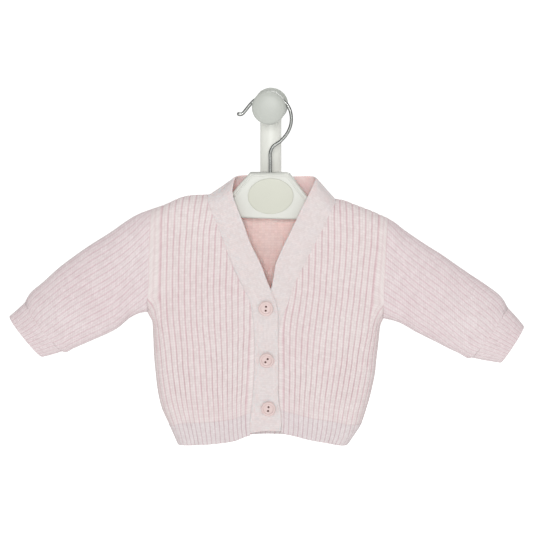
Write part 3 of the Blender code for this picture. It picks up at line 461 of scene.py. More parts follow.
# The wire's middle line; a size above 1 is the thicker end of the hook.
Bend = namedtuple("Bend", "x level size")
HOOK_ROUTE = rows_of(
    Bend,
    (STEM_X, HEAD_TOP_LEVEL - WIRE_SUNK, 1.0), (STEM_X, -56.0, 1.0),
    (0.1, -46.5, 1.0), (2.6, -40.8, 1.0), (10.4, -34.9, 1.0),
    (17.0, -27.0, 1.0), (20.5, -18.2, 1.0), (20.8, -9.6, 1.0),
    (18.2, -1.0, 1.0), (12.2, 5.9, 1.0), (3.2, 9.6, 1.0), (-6.4, 9.3, 1.0),
    (-15.0, 5.9, 1.0), (-20.6, 0.4, 1.0), (-24.6, -4.6, 1.0),
    (-27.6, -7.9, 1.05), (-29.2, -8.4, 1.25), (-31.2, -8.4, 1.25),
)

BAR_X = -1.3                 # its middle, a little to the left of the peg's axis
BAR_HALF = 10.6
BAR_DEEP = 12.0
BAR_EDGE = 5.0               # straight part of its sides, before the round front
BAR_TOP = 13.0
BAR_LOW = -150.0
BAR_ROUND = 0.8              # of its upper and lower edges
# A domed knob, the stub that the hook hangs on, and a flange against the bar.
PEG_PROFILE = rows_of(
    Turn,
    (0.02, -58.8), (7.0, -58.5), (12.0, -57.6), (15.2, -56.3),
    (16.4, -54.4), (16.7, -52.0), (16.7, -48.6), (16.3, -46.8),
    (15.0, -46.0), (8.7, -46.0), (7.7, -45.0), (7.7, -19.3),
    (8.7, -18.3), (14.6, -18.3), (16.6, -16.7), (17.0, -14.3),
    (16.4, -12.1), (0.02, -12.1),
)

# A tube's sections by how far along it they are, and a seam's places by their level.
TubeRow = namedtuple("TubeRow", ("at",) + Ring._fields)
Seam = namedtuple("Seam", "level x")

# The cloth that shows, as cut: width, length and area in millimetres, and what carries it.
Cut = namedtuple("Cut", "wide long area carried_by")


# ---- lines and smooth curves through the tables -------------------------------------------
def unit(vectors):
    return vectors / np.linalg.norm(vectors, axis=-1, keepdims=True)


def run_of(points):
    """Length run at each point of a line, or of each column of a grid."""
    step = np.linalg.norm(np.diff(points, axis=0), axis=-1)
    return np.concatenate([np.zeros((1,) + step.shape[1:]), np.cumsum(step, axis=0)])


def circle(steps):
    """So many even turns of one round."""
    return 2 * math.pi * np.arange(steps) / steps


@functools.lru_cache(maxsize=None)
def line_of(table, column):
    """Places, values and slopes of a smooth line through a table's column."""
    rows = sorted(table)
    at = np.array([row[0] for row in rows])
    value = np.array([getattr(row, column) for row in rows])
    rise = np.diff(value) / np.diff(at)
    before, after = rise[:-1], rise[1:]
    same = before * after > 0
    middle = np.where(same, 2 * before * after / np.where(same, before + after, 1.0), 0.0)
    return at, value, np.concatenate([rise[:1], middle, rise[-1:]])


def read(table, column, where):
    """A table's column at any place; its first column says where."""
    at, value, slope = line_of(table, column)
    where = np.clip(where, at[0], at[-1])
    k = np.clip(np.searchsorted(at, where, side="right") - 1, 0, len(at) - 2)
    step = at[k + 1] - at[k]
    t = (where - at[k]) / step
    rise = value[k + 1] - value[k]
    return (value[k] + rise * t * t * (3 - 2 * t)
            + step * t * (1 - t) * (slope[k] * (1 - t) - slope[k + 1] * t))


def smooth_route(points, steps):
    """A smooth curve through unevenly spaced points, with so many steps between two of them."""
    points = np.asarray(points, float)
    ends = np.concatenate([[2 * points[0] - points[1]], points, [2 * points[-1] - points[-2]]])
    length = np.sqrt(np.linalg.norm(np.diff(ends, axis=0), axis=1))
    route = []
    for k in range(1, len(ends) - 2):
        before, here, there, after = ends[k - 1:k + 3]
        first, middle, last = length[k - 1:k + 2]
        leave = (here - before) / first - (there - before) / (first + middle)
        leave = leave * middle + there - here
        arrive = (there - here) / middle - (after - here) / (middle + last)
        arrive = arrive * middle + (after - there) / last * middle
        t = (np.arange(steps) / steps)[:, None]
        route.append(here * (2 * t ** 3 - 3 * t * t + 1) + leave * (t ** 3 - 2 * t * t + t)
                     + there * (3 * t * t - 2 * t ** 3) + arrive * (t ** 3 - t * t))
    return np.concatenate(route + [points[-1:]])


# ---- the form of the body -----------------------------------------------------------------
def swell(part):
    """Square of a quarter circle's height: 0 at an edge, 1 once the round part is passed."""
    return np.where(part < 1.0, 1.0 - (1.0 - part) ** 2, 1.0)


def above_underarm(side, level):
    """Height above the point where a side seam meets its armhole."""
    return level - UNDERARM[side]


def edge_distance(x, level, side):
    """Distance in from a side seam, or from the underarm point above it."""
    inward = 1.0 if side == "left" else -1.0
    away = (x - read(SIDES, side, level)) * inward
    above = above_underarm(side, level)
    return np.where(above < 0.0, away, np.hypot(away, above))


def top_inside(x):
    return read(TOP_LINE, "level", x) - CREST


def fullness(x, level):
    """Square of the body's half depth at a point, as a part of the whole."""
    return (swell((top_inside(x) - level) / SHOULDER_ROUND)
            * swell(edge_distance(x, level, "left") / SIDE_ROUND)
            * swell(edge_distance(x, level, "right") / SIDE_ROUND))


def pressed(face, x, level):
    """How far the folds press the cloth in."""
    total = np.zeros(np.broadcast(x, level).shape)
    for fold in FOLDS:
        if fold.face == face:
            along = (level - fold.level) / fold.long
            across = (x - fold.x - fold.lean * along) / fold.wide
            total += fold.depth * np.exp(-along * along - across * across)
    return total


def body_points(face, x, level, lift, flat_edge=False):
    """Points on a face of the body, this far outside the plain inside of the cloth."""
    x, level, lift, flat_edge = np.broadcast_arrays(x, level, lift, flat_edge)
    toward = -1.0 if face == "front" else 1.0
    full = np.sqrt(np.maximum(fullness(x, level), 0.0))
    depth = (HALF_DEPTH - pressed(face, x, level)) * full
    # Outward is the slope of the square of the half depth, taken over two small steps.
    sideways = fullness(x - SMALL, level) - fullness(x + SMALL, level)
    upward = fullness(x, level - SMALL) - fullness(x, level + SMALL)
    outward = unit(np.stack([np.where(flat_edge, 0.0, sideways),
                             toward * 4 * SMALL * full / HALF_DEPTH, upward], axis=-1))
    base = np.stack([x, MIDDLE + toward * (depth + SIDE_GAP / 2), level], axis=-1)
    return base + outward * lift[..., None]


# ---- walls of cloth -----------------------------------------------------------------------
def mesh_of(name, points, faces, corners_uv, kinds):
    """A smooth mesh of quads facing out, with a map of its stitches."""
    a, b, c, d = (points[faces[:, k]] for k in range(4))
    volume = np.einsum("ij,ij->i", a, np.cross(b, c) + np.cross(c, d)).sum()
    if volume < 0:
        faces, corners_uv = faces[:, ::-1], corners_uv[:, ::-1]
    mesh = bpy.data.meshes.new(name)
    mesh.vertices.add(len(points))
    mesh.vertices.foreach_set("co", (points * MM).ravel())
    mesh.loops.add(faces.size)
    mesh.loops.foreach_set("vertex_index", faces.ravel().astype(np.int32))
    mesh.polygons.add(len(faces))
    mesh.polygons.foreach_set("loop_start", np.arange(0, faces.size, 4, np.int32))
    mesh.polygons.foreach_set("material_index", kinds)
    mesh.update(calc_edges=True)
    stitches = mesh.uv_layers.new(name=STITCH_MAP)
    stitches.uv.foreach_set("vector", corners_uv.ravel())
    mesh.shade_smooth()
    mesh.set_sharp_from_angle(angle=WALL_SHARP)
    return mesh


def wall(name, outer, inner, wales, courses, free=(), closed=False):
    """A wall between two grids of points; materials 0 outside, 1 inside, 2 on its seam edges.

    free names the edges that no seam hides: "low", "high" and "last".
    wales counts the columns of stitches at each column of points, with one more value on a
    tube; courses counts the rows of stitches at each point.
    """
    rows, columns = outer.shape[:2]
    around = columns if closed else columns - 1
    index = np.arange(rows * columns).reshape(rows, columns)
    inside = index + rows * columns
    near = np.arange(around)
    far = (near + 1) % columns
    wide = np.broadcast_to(wales, (rows, np.shape(wales)[-1]))
    faces, maps, kinds = [], [], []

    def add_faces(corners, across, along, kind):
        faces.append(np.stack(corners, axis=-1).reshape(-1, 4))
        maps.append(np.stack([np.stack(across, axis=-1).reshape(-1, 4),
                              np.stack(along, axis=-1).reshape(-1, 4)], axis=-1))
        kinds.append(np.full(len(faces[-1]), kind, np.int32))

    for grid, kind in ((index, 0), (inside, 1)):
        corners = [grid[:-1, near], grid[:-1, far], grid[1:, far], grid[1:, near]]
        across = [wide[:-1, near], wide[:-1, near + 1], wide[1:, near + 1], wide[1:, near]]
        along = [courses[:-1, near], courses[:-1, far], courses[1:, far], courses[1:, near]]
        if kind:
            corners, across, along = corners[::-1], across[::-1], along[::-1]
        add_faces(corners, across, along, kind)
    for row, turn, end in ((0, 1, "low"), (-1, -1, "high")):
        corners = [inside[row, near], inside[row, far], index[row, far], index[row, near]]
        across = [wide[row, near], wide[row, near + 1], wide[row, near + 1], wide[row, near]]
        past = courses[row] - turn * RIM_COURSES
        along = [past[near], past[far], courses[row, far], courses[row, near]]
        add_faces(corners[::turn], across[::turn], along[::turn], 0 if end in free else 2)
    if not closed:
        for column, turn, end in ((0, -1, "first"), (-1, 1, "last")):
            corners = [inside[:-1, column], inside[1:, column],
                       index[1:, column], index[:-1, column]]
            past = wide[:-1, column] + turn * RIM_COURSES
            across = [past, past, wide[:-1, column], wide[:-1, column]]
            along = [courses[:-1, column], courses[1:, column],
                     courses[1:, column], courses[:-1, column]]
            add_faces(corners[::turn], across[::turn], along[::turn],
                      0 if end in free else 2)
    points = np.concatenate([outer.reshape(-1, 3), inner.reshape(-1, 3)])
    return mesh_of(name, points, np.concatenate(faces), np.concatenate(maps),
                   np.concatenate(kinds))


def rib_places(ribs, closed=False):
    """Where the columns of points of so many ribs lie, in ribs."""
    places = (np.arange(ribs)[:, None] + np.array(RIB_STEPS)).ravel()
    return places if closed else np.append(places, ribs)


def rib_height(places, dip):
    """Height of the ribs, 0 in a groove and 1 on a crest."""
    phase = places % 1.0
    crest = 1.0 - np.abs(2 * phase - 1) ** RIB_SQUARE
    return crest - dip * np.exp(-((phase - HALF) / RIB_DIP_WIDE) ** 2)


def waves(places, along, seed):
    """Slow unevenness that neighbouring ribs share, from -1 to 1; a seed tells pieces apart."""
    turn = 2 * math.pi * along / WANDER_LONG
    return sum(wave.size * np.sin(wave.turns * turn + wave.by_rib * places + wave.by_seed * seed)
               for wave in WAVES)


def sunk(distance, keep):
    """How high a rib stands at a distance from a seam, as a share of its height."""
    part = np.clip(distance / END_FADE, 0.0, 1.0)
    return keep + (1 - keep) * np.sqrt(part * (2 - part))


def rounded(distance):
    """Share of a wall's half thickness at a distance from its free edge."""
    part = np.clip(distance / EDGE_ROUND, 0.0, 1.0)
    return EDGE_KEEP + (1 - EDGE_KEEP) * np.sqrt(part * (2 - part))


def lifts(places, rib, low_edge, high_edge, seed, along):
    """Outer and inner lifts of a ribbed wall.

    low_edge and high_edge are the distances from its ends, and say whether each is free.
    """
    shape = rib_height(places, rib.dip)
    outer = rib.high * (shape - HALF)
    inner = INSIDE_RELIEF * shape + 0.0 * along
    for distance, free in (low_edge, high_edge):
        if not free:
            outer = outer * sunk(distance, rib.keep)
    outer = (GROOVE + CREST) / 2 + outer + UNEVEN * waves(places, along, seed)
    middle = (outer + inner) / 2
    for distance, free in (low_edge, high_edge):
        if free:
            outer = middle + (outer - middle) * rounded(distance)
            inner = middle + (inner - middle) * rounded(distance)
    return outer, inner


def placed(name, data):
    """A new object in the scene."""
    made = bpy.data.objects.new(name, data)
    bpy.context.scene.collection.objects.link(made)
    return made


def show(name, mesh, skins, stands_for):
    """A piece of the object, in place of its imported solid."""
    made = placed(name, mesh)
    for skin in skins:
        mesh.materials.append(skin)
    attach(made, "root")
    if stands_for:
        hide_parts(stands_for)
    return made


def show_cloth(node, mesh, skins):
    """A knitted piece."""
    made = show("knitted_" + node, mesh, skins, node)


# ---- materials ----------------------------------------------------------------------------
def linear(code):
    """An sRGB hex value as linear red, green, blue and alpha."""
    parts = [int(code[k:k + 2], 16) / 255 for k in (1, 3, 5)]
    return [part / 12.92 if part <= 0.04045 else ((part + 0.055) / 1.055) ** 2.4
            for part in parts] + [1.0]


def add(tree, kind, inputs=(), **settings):
    """A node with its settings.

    An input is a value, a colour as hex, a socket, or a node that gives its first output.
    """
    node = tree.nodes.new("ShaderNode" + kind)
    for key, value in settings.items():
        setattr(node, key, value)
    for socket, source in dict(inputs).items():
        if isinstance(source, bpy.types.Node):
            source = source.outputs[0]
        if isinstance(source, bpy.types.NodeSocket):
            tree.links.new(source, node.inputs[socket])
        else:
            value = linear(source) if isinstance(source, str) else source
            node.inputs[socket].default_value = value
    return node


def maths(tree, operation, *values):
    return add(tree, "Math", enumerate(values), operation=operation)


def noise(tree, place, size, detail, **inputs):
    """Noise whose features have this size in millimetres."""
    return add(tree, "TexNoise", {
        "Vector": place, "Scale": 1 / (size * MM), "Detail": detail, **inputs})


def ranged(tree, value, start, end, low=0.0, high=1.0, how="LINEAR"):
    """A value's run from low to high, made into one from start to end."""
    return add(tree, "MapRange", {
        "Value": value, "From Min": low, "From Max": high, "To Min": start, "To Max": end},
        interpolation_type=how)


def bump_of(tree, height, deep):
    """The relief of a height, this deep in millimetres."""
    return add(tree, "Bump", {"Strength": 1.0, "Distance": deep * MM, "Height": height})


def mixed(tree, share, first, second, **settings):
    """A share of the second colour over the first."""
    inputs = {"Factor": share, 6: first, 7: second}
    return add(tree, "Mix", inputs, data_type="RGBA", **settings).outputs[2]


def new_material(name):
    """A material without nodes but one, its tree, and the place on the object in metres."""
    made = bpy.data.materials.new(name)
    made.use_nodes = True
    tree = made.node_tree
    tree.nodes.clear()
    return made, tree, add(tree, "TexCoord").outputs["Object"]


def finished(made, inputs):
    """The material, with a principled shader that has these inputs."""
    shader = add(made.node_tree, "BsdfPrincipled", inputs)
    add(made.node_tree, "OutputMaterial", {"Surface": shader})
    return made


# How a knit looks: its ridges' colour and its grooves' colour of painted shade, the height of its
# stitches, how far painted shade darkens the grooves, the mid-rib lines and the hollows between
# stitches, how much of a rib a groove takes on each side, and how much light passes through.
Knit = namedtuple("Knit", "ridge groove high rib_share groove_wide line_share hollow through")


def knit_material(name, knit):
    """Knitted cotton: V stitches in columns, and ribs with painted shade in their grooves."""
    made, tree, place = new_material(name)
    split = add(tree, "SeparateXYZ", {0: add(tree, "UVMap", uv_map=STITCH_MAP)})
    wale, course = split.outputs[0], split.outputs[1]

    # A stitch is two legs that rise away from the middle of its column, one row apart.
    moved = maths(tree, "ADD", wale, HALF)
    from_middle = maths(tree, "PINGPONG", moved, HALF)
    out = maths(tree, "MULTIPLY", from_middle, 2.0)
    slant = maths(tree, "MULTIPLY", out, STITCH_SLANT)
    row = maths(tree, "SUBTRACT", course, slant)
    row_place = maths(tree, "PINGPONG", row, HALF)
    steep = maths(tree, "MULTIPLY", row_place, LOOP_STEEP)
    loop = maths(tree, "SMOOTH_MIN", steep, 1.0, LOOP_SOFT)
    leg_place = maths(tree, "MULTIPLY_ADD", out, 2.0, -1.0)
    leg_fall = maths(tree, "MULTIPLY", leg_place, leg_place)
    leg = maths(tree, "SUBTRACT", 1.0, leg_fall)
    body = maths(tree, "MULTIPLY", loop, leg)
    fibre = noise(tree, place, FIBRE, 3.0, Roughness=0.6)
    relief = maths(tree, "MULTIPLY_ADD", fibre, FIBRE_SHARE, body)

    # Painted shade: the colour goes darker and pinker in the grooves and on the line along the
    # middle of a rib.
    ribs = maths(tree, "MULTIPLY", wale, 1 / WALES_PER_RIB)
    rib = maths(tree, "PINGPONG", ribs, HALF)
    in_groove = ranged(tree, rib, knit.rib_share, 0.0, 0.0, knit.groove_wide, "SMOOTHSTEP")
    in_line = ranged(tree, rib, 0.0, knit.line_share, HALF - knit.groove_wide, HALF,
                     "SMOOTHSTEP")
    both = maths(tree, "ADD", in_groove, in_line)
    patch = maths(tree, "ADD", noise(tree, place, PATCH, 1.0), HALF)
    cloudy = noise(tree, place, CLOUD, 2.0)
    drift = maths(tree, "MULTIPLY_ADD", cloudy, CLOUD_SHARE, -HALF * CLOUD_SHARE)
    lines = maths(tree, "MULTIPLY_ADD", patch, both, drift)
    # The yarn's colour, with painted shade in the grooves and on the mid-rib lines.
    yarn_with_groove_shade = mixed(tree, lines, knit.ridge, knit.groove, clamp_factor=True)

    # Painted shade in the hollows between stitches, no two of them alike.
    which = add(tree, "CombineXYZ", {0: maths(tree, "FLOOR", wale), 1: maths(tree, "FLOOR", row)})
    chance = add(tree, "TexWhiteNoise", {"Vector": which}, noise_dimensions="2D")
    unlike = maths(tree, "MULTIPLY_ADD", chance, STITCH_UNLIKE, knit.hollow)
    hollow = maths(tree, "MULTIPLY_ADD", body, -knit.hollow, unlike)
    return finished(made, {
        "Base Color": mixed(tree, hollow, yarn_with_groove_shade, HOLLOW_SHADE, blend_type="MULTIPLY"),
        "Roughness": 0.92, "Normal": bump_of(tree, relief, knit.high),
        "Subsurface Weight": knit.through, "Subsurface Scale": YARN_REACH * MM,
        "Subsurface Radius": (1.0, 0.55, 0.5), "Sheen Weight": 0.1, "Sheen Roughness": 0.5,
        "Specular IOR Level": 0.1})


def moulded_material(name, colour, other, roughness, grain, deep):
    """Moulded plastic: a slow unevenness of the mould, and a fine grain that breaks up gloss."""
    made, tree, place = new_material(name)
    slow = noise(tree, place, MOULD_WAVE, 1.0)
    fine = noise(tree, place, grain, 2.0)
    relief = maths(tree, "MULTIPLY_ADD", slow, MOULD_SHARE, fine)
    return finished(made, {
        "Base Color": mixed(tree, slow, colour, other),
        "Roughness": ranged(tree, fine, roughness - GLOSS_DRIFT, roughness + GLOSS_DRIFT),
        "Normal": bump_of(tree, relief, deep), "IOR": 1.49})


def thread_material():
    """Twisted sewing thread in the button's holes: its dark brown is painted shade of the holes.
    """
    made, tree, place = new_material("sewing_thread")
    twist = add(tree, "TexWave", {
        "Vector": place, "Scale": WAVE_SPAN / (THREAD_TWIST * MM), "Distortion": 1.0}).outputs[1]
    return finished(made, {
        "Base Color": mixed(tree, twist, "#4E302B", "#6B4640"), "Roughness": 0.8,
        "Normal": bump_of(tree, twist, THREAD_DEEP)})


def wire_material():
    """Drawn, polished steel wire with fine lines in its gloss; painted reflection darkens its
    sides.
    """
    made, tree, place = new_material("polished_steel_wire")
    drawn = noise(tree, place, WIRE_GRAIN, 2.0)
    # Painted reflection: the colour runs from light in the middle to dark toward the sides.
    reflection_share = add(tree, "LayerWeight", {"Blend": HALF}).outputs["Facing"]
    return finished(made, {
        "Base Color": mixed(tree, reflection_share, "#A3A5A2", "#1C1E1C"), "Metallic": 1.0,
        "Roughness": ranged(tree, drawn, 0.22, 0.28),
        "Normal": bump_of(tree, drawn, WIRE_DEEP)})


def floor_material():
    """A white painted floor whose glow, painted light, rises behind the object."""
    made, tree, place = new_material("white_studio_floor")
    grain = noise(tree, place, FLOOR_GRAIN, 2.0)
    behind = add(tree, "SeparateXYZ", {0: place}).outputs[1]
    return finished(made, {
        "Base Color": "#FAFAFA", "Roughness": ranged(tree, grain, 0.9, 1.0),
        "Specular IOR Level": 0.0, "Emission Color": "#FFFFFF",
        # Painted light: the floor glows, more so behind the object.
        "Emission Strength": ranged(tree, behind, *FLOOR_GLOW, *GLOW_FROM, "SMOOTHSTEP")})


# Knits are matt, soft cotton. The next colour is painted shade, multiplied into the hollows
# between the stitches.
HOLLOW_SHADE = "#B9A6A6"
# A wide rib of pale ridges; the deep pink of the groove between two of them is painted shade.
RIB_KNIT = knit_material("knitted_cotton_rib", Knit(
    "#DFD8D6", "#C9A1AA", 0.12, 0.56, 0.27, 0.2, 0.16, 0.0))
# A flatter, finer rib along the arm, whose grooves get only a faint painted shade.
FINE_KNIT = knit_material("knitted_cotton_fine_rib", Knit(
    "#DED6D6", "#C9A5AE", 0.10, 0.46, 0.3, 0.24, 0.17, 0.0))
# A tight rib whose grooves are thin, with a greyer painted shade.
HEM_KNIT = knit_material("knitted_cotton_hem_rib", Knit(
    "#D9D2D2", "#C09FA8", 0.10, 0.6, 0.18, 0.1, 0.15, 0.0))
# Turned-in edges in a seam, pinker than the face because they are in its shade.
SEAM_EDGE = knit_material("knitted_cotton_seam_edge", Knit(
    "#D9B2B7", "#CCA1A8", 0.1, 0.2, 0.27, 0.0, 0.2, 0.0))
# The wrong side of the rib glows warm, because light comes through the cloth.
# Its lighter, warmer colour is painted light; the rest passes through the cloth.
RIB_KNIT_BACK = knit_material("knitted_cotton_wrong_side", Knit(
    "#F8E0DB", "#ECCFC8", 0.14, 0.2, 0.27, 0.0, 0.12, 0.4))
# A close plain knit without ribs: smooth and a little creamier.
PLAIN_KNIT = knit_material("knitted_cotton_band", Knit(
    "#DAD2D1", "#CBB2B3", 0.08, 0.0, 0.27, 0.0, 0.1, 0.3))
# The band's wrong side is lighter and warmer: painted light, beside the light that passes
# through.
PLAIN_KNIT_BACK = knit_material("knitted_cotton_band_wrong_side", Knit(
    "#EEDAD8", "#DFC6C3", 0.08, 0.0, 0.27, 0.0, 0.1, 0.4))
# Cast polyester, pink all through, with a satin gloss on its rim.
BUTTON_PLASTIC = moulded_material("moulded_polyester_button", "#D4C0BC", "#CEB8B5", 0.32,
                                  0.6, 0.01)
SEWING_THREAD = thread_material()
# Moulded polystyrene, off-white with a soft gloss that follows its bevels.
HANGER_PLASTIC = moulded_material("moulded_polystyrene_hanger", "#D2D3CC", "#CCCDC6", 0.35,
                                  0.9, 0.01)
# The inlay is a duller, greyer moulding than what it is set in.
BADGE_PLASTIC = moulded_material("moulded_badge_inlay", "#C6C7BA", "#C1C2B5", 0.45, 0.7,
                                 0.01)
STEEL_WIRE = wire_material()
# Lacquer over a turned peg and a drawn post: even and half matt, so their roundness shows.
PEG_PLASTIC = moulded_material("lacquered_peg", "#B5B8B2", "#B0B3AC", 0.42, 1.2, 0.005)
BAR_PLASTIC = moulded_material("lacquered_post", "#E0E1DA", "#DBDCD5", 0.4, 1.2, 0.01)


# ---- band ---------------------------------------------------------------------------------
def band_base(section, part, lift=0.0):
    """A point of the band on the form that it lies on; part runs 0 at its seam edge to 1."""
    x = section.seam_x + part * (section.free_x - section.seam_x)
    level = section.seam_level + part * (section.free_level - section.seam_level)
    if section.face == "collar":
        neck = read(BACK_NECK, "level", section.seam_x)
        seam = body_points("back", section.seam_x, neck, lift)
        turn = min(abs(section.free_x - end) for end in COLLAR_ENDS) / COLLAR_TURN
        depth = MIDDLE + (COLLAR_DEPTH - MIDDLE) * math.sqrt(swell(turn))
        free = np.array([section.free_x, depth, section.free_level])
        return seam + (free - seam) * part
    if section.face == "fall":
        point = body_points("front", x, top_inside(x) - level, lift)
        if section.seam_level == 0.0:
            point[1] = MIDDLE
        return point
    return body_points("front", x, level, lift)


def band_shape(part):
    """Share of the band's half thickness across it: full, with a round free edge."""
    edge = 1.0 - (1.0 - part) * BAND_WIDE / EDGE_ROUND
    return EDGE_KEEP + (1 - EDGE_KEEP) * np.sqrt(1.0 - np.clip(edge, 0.0, 1.0) ** 2)


def band_line(part):
    """The band's inside and outside from end to end, at one part of its width."""
    bases = np.array([band_base(section, part) for section in BAND])
    bases[0, 2] += BAND_END_RISE * math.sin(math.pi * part)
    side = min(part + BAND_STEP, 1.0)
    other = max(part - BAND_STEP, 0.0)
    across = np.array([band_base(section, side) - band_base(section, other)
                       for section in BAND])
    along = np.gradient(bases, axis=0)
    square = unit(np.cross(across, along))
    seam = np.array([band_base(section, 0.0, 1.0) - band_base(section, 0.0)
                     for section in BAND])
    share = min(part / BAND_TURN, 1.0)
    outward = unit(seam * (1 - share) + square * share)
    raised = np.array([section.lift for section in BAND])
    dip = np.minimum(raised, BAND_EDGE_DIP) * (1 - share) ** 2
    middle = (raised - dip + BAND_WALL / 2)[:, None]
    half = BAND_WALL / 2 * band_shape(part)
    return (smooth_route(bases + outward * (middle - half), BAND_SMOOTH),
            smooth_route(bases + outward * (middle + half), BAND_SMOOTH))


def make_band():
    lines = [band_line(part) for part in BAND_COLUMNS]
    inner = np.stack([line[0] for line in lines], axis=1)
    outer = np.stack([line[1] for line in lines], axis=1)
    wales = np.array(BAND_COLUMNS) * BAND_WALES
    courses = run_of(outer) / FINE_COURSE
    middle = courses[:, len(BAND_COLUMNS) // 2][:, None]
    mesh = wall("front_band", outer, inner, wales, np.broadcast_to(middle, courses.shape),
                ("low", "high", "last"))
    show_cloth("front_band", mesh, [PLAIN_KNIT, PLAIN_KNIT_BACK, SEAM_EDGE])


@functools.lru_cache(maxsize=None)
def band_seams():
    """The band's seam edge over the left front, the back and the right front."""
    line = smooth_route([band_base(section, 0.0) for section in BAND], BAND_SMOOTH)
    over = [point[1] > MIDDLE + SMALL for point in line]
    first = over.index(True)
    last = len(over) - over[::-1].index(True)
    left = tuple(Seam(level, x) for x, _, level in line[:first])
    right = tuple(Seam(level, x) for x, _, level in line[last:])
    back = tuple(Neck(x, level) for x, _, level in line[first - 1:last + 1])
    return left, back, right


# ---- columns of ribs over a face of the body ----------------------------------------------
def side_strip(side, place, fourth, level):
    """Places of the ribs between a side seam or an armhole and the fourth groove from it."""
    fade = np.clip(above_underarm(side, level) / EASE_ABOVE, 0.0, 1.0)
    size = np.maximum(SIDE_ROUND * (HALF + HALF * np.cos(math.pi * fade)), SMALL)
    edge = read(SIDES, side, level)
    deep = np.abs(fourth - edge)
    whole = (size * np.arccos(1.0 - np.minimum(deep / size, 1.0))
             + np.maximum(deep - size, 0.0))
    run = whole * np.clip(place / SIDE_RIBS, 0.0, 1.0)
    turn = run / size
    reach = np.where(turn < math.pi / 2, size * (1.0 - np.cos(np.minimum(turn, math.pi))),
                     size + run - size * math.pi / 2)
    return edge + np.sign(fourth - edge) * reach


def front_x(side, place, level):
    """Sideways place, on a front, of a rib that is this many in from the side seam."""
    left_seam, _, right_seam = band_seams()
    if side == "left":
        lines, ribs, inward, seam = GROOVES_LEFT, RIB_COUNTS["front_left"], 1.0, left_seam
    else:
        lines, ribs, inward, seam = GROOVES_RIGHT, RIB_COUNTS["front_right"], -1.0, right_seam
    beside = read(seam, "x", level) - inward * (SEAM_CLEAR + SMALL)
    beyond = read(lines, "last", level) + inward * LAST_RIB
    leave = np.clip((level - V_LEVEL) / V_LEAVE, 0.0, 1.0)
    known = [read(lines, column, level) for column in Grooves._fields[1:]]
    known.append(beside + (beyond - beside) * leave)
    counts = GROOVE_COUNTS + (ribs - 1, ribs)
    x = known[0]
    for k in range(1, len(counts)):
        share = np.clip((place - counts[k - 1]) / (counts[k] - counts[k - 1]), 0.0, 1.0)
        x = x + share * (known[k] - known[k - 1])
    return np.where(place < SIDE_RIBS, side_strip(side, place, known[0], level), x)


def column_x(piece, places, level):
    """Where the columns of a panel are at a level; places count its ribs from one edge."""
    ribs = RIB_COUNTS[piece]
    if piece == "front_left":
        x = front_x("left", places, level)
    elif piece == "front_right":
        x = front_x("right", places, level)
    else:
        left = read(GROOVES_LEFT, "fourth", level)
        right = read(GROOVES_RIGHT, "fourth", level)
        share = (places - SIDE_RIBS) / (ribs - 2 * SIDE_RIBS)
        x = left + share * (right - left)
        x = np.where(places < SIDE_RIBS, side_strip("left", places, left, level), x)
        x = np.where(places > ribs - SIDE_RIBS,
                     side_strip("right", ribs - places, right, level), x)
    edge = np.minimum(np.minimum(places, ribs - places) / STEADY_RIBS, 1.0)
    return x + WANDER * edge * waves(places, level, len(piece))


def flattened(side, places, level):
    """Count of ribs from a side; beside an armhole they run flat into one."""
    flat = np.clip(above_underarm(side, level) / STRIP_FADE, 0.0, 1.0)
    strip = SIDE_RIBS - SMOOTH_STRIP * (1.0 - places / SIDE_RIBS)
    return np.where(places < SIDE_RIBS, places + (strip - places) * flat, places)


def rib_phase(piece, places, level):
    """Ribs and parts of ribs counted across a panel, as they show at a level."""
    ribs = RIB_COUNTS[piece]
    if piece != "back":
        side = "left" if piece == "front_left" else "right"
        beside_band = np.maximum(places - (ribs - 1), 0.0) / 2
        return flattened(side, places, level) - beside_band
    return np.where(places < ribs / 2, flattened("left", places, level),
                    ribs - flattened("right", ribs - places, level))


def seam_clear(x, level, corner):
    """How far a panel stops from the band's seam; corner is the seam's end at the shoulder."""
    near = np.maximum(1.0 - np.hypot(x - corner.x, level - corner.level) / CORNER_REACH, 0.0)
    return SEAM_CLEAR + CORNER_CLEAR * near


def clear_of_band(piece, x, level):
    """Whether a point of a panel is clear of the band."""
    left_seam, back_seam, right_seam = band_seams()
    if piece == "front_left":
        return x < read(left_seam, "x", level) - seam_clear(x, level, left_seam[-1])
    if piece == "front_right":
        return x > read(right_seam, "x", level) + seam_clear(x, level, right_seam[0])
    clear = np.where(x < 0.0, seam_clear(x, level, back_seam[0]),
                     seam_clear(x, level, back_seam[-1]))
    beside = (x < back_seam[0].x) | (x > back_seam[-1].x)
    return beside | (level < read(back_seam, "level", x) - clear)


def panel_top(piece, places):
    """The level at which each column meets the shoulder seam or the band."""
    low = np.full(places.shape, SEARCH_LEVELS[0])
    high = np.full(places.shape, SEARCH_LEVELS[1])
    for _ in range(SEARCH_TIMES):
        level = (low + high) / 2
        x = column_x(piece, places, level)
        inside = (level < top_inside(x)) & clear_of_band(piece, x, level)
        low, high = np.where(inside, level, low), np.where(inside, high, level)
    return low


def panel_low(piece, places, lift):
    """The level of each column at the hem's lower edge, or this far above it."""
    face = "back" if piece == "back" else "front"
    level = np.full(places.shape, SEARCH_LEVELS[0])
    for _ in range(SEARCH_TIMES):
        level = read(HEM, face, column_x(piece, places, level)) + lift
    return level


def arc_rows(length, round_part):
    """Even steps along cloth whose last part turns over in a quarter circle, as levels."""
    whole = length - round_part + round_part * math.pi / 2
    count = max(int(round(whole / ROW_HIGH)), 2)
    run = np.arange(count + 1) / count * whole
    turn = np.maximum(run - (length - round_part), 0.0) / max(round_part, SMALL)
    return np.minimum(run, length - round_part) + round_part * np.sin(turn)


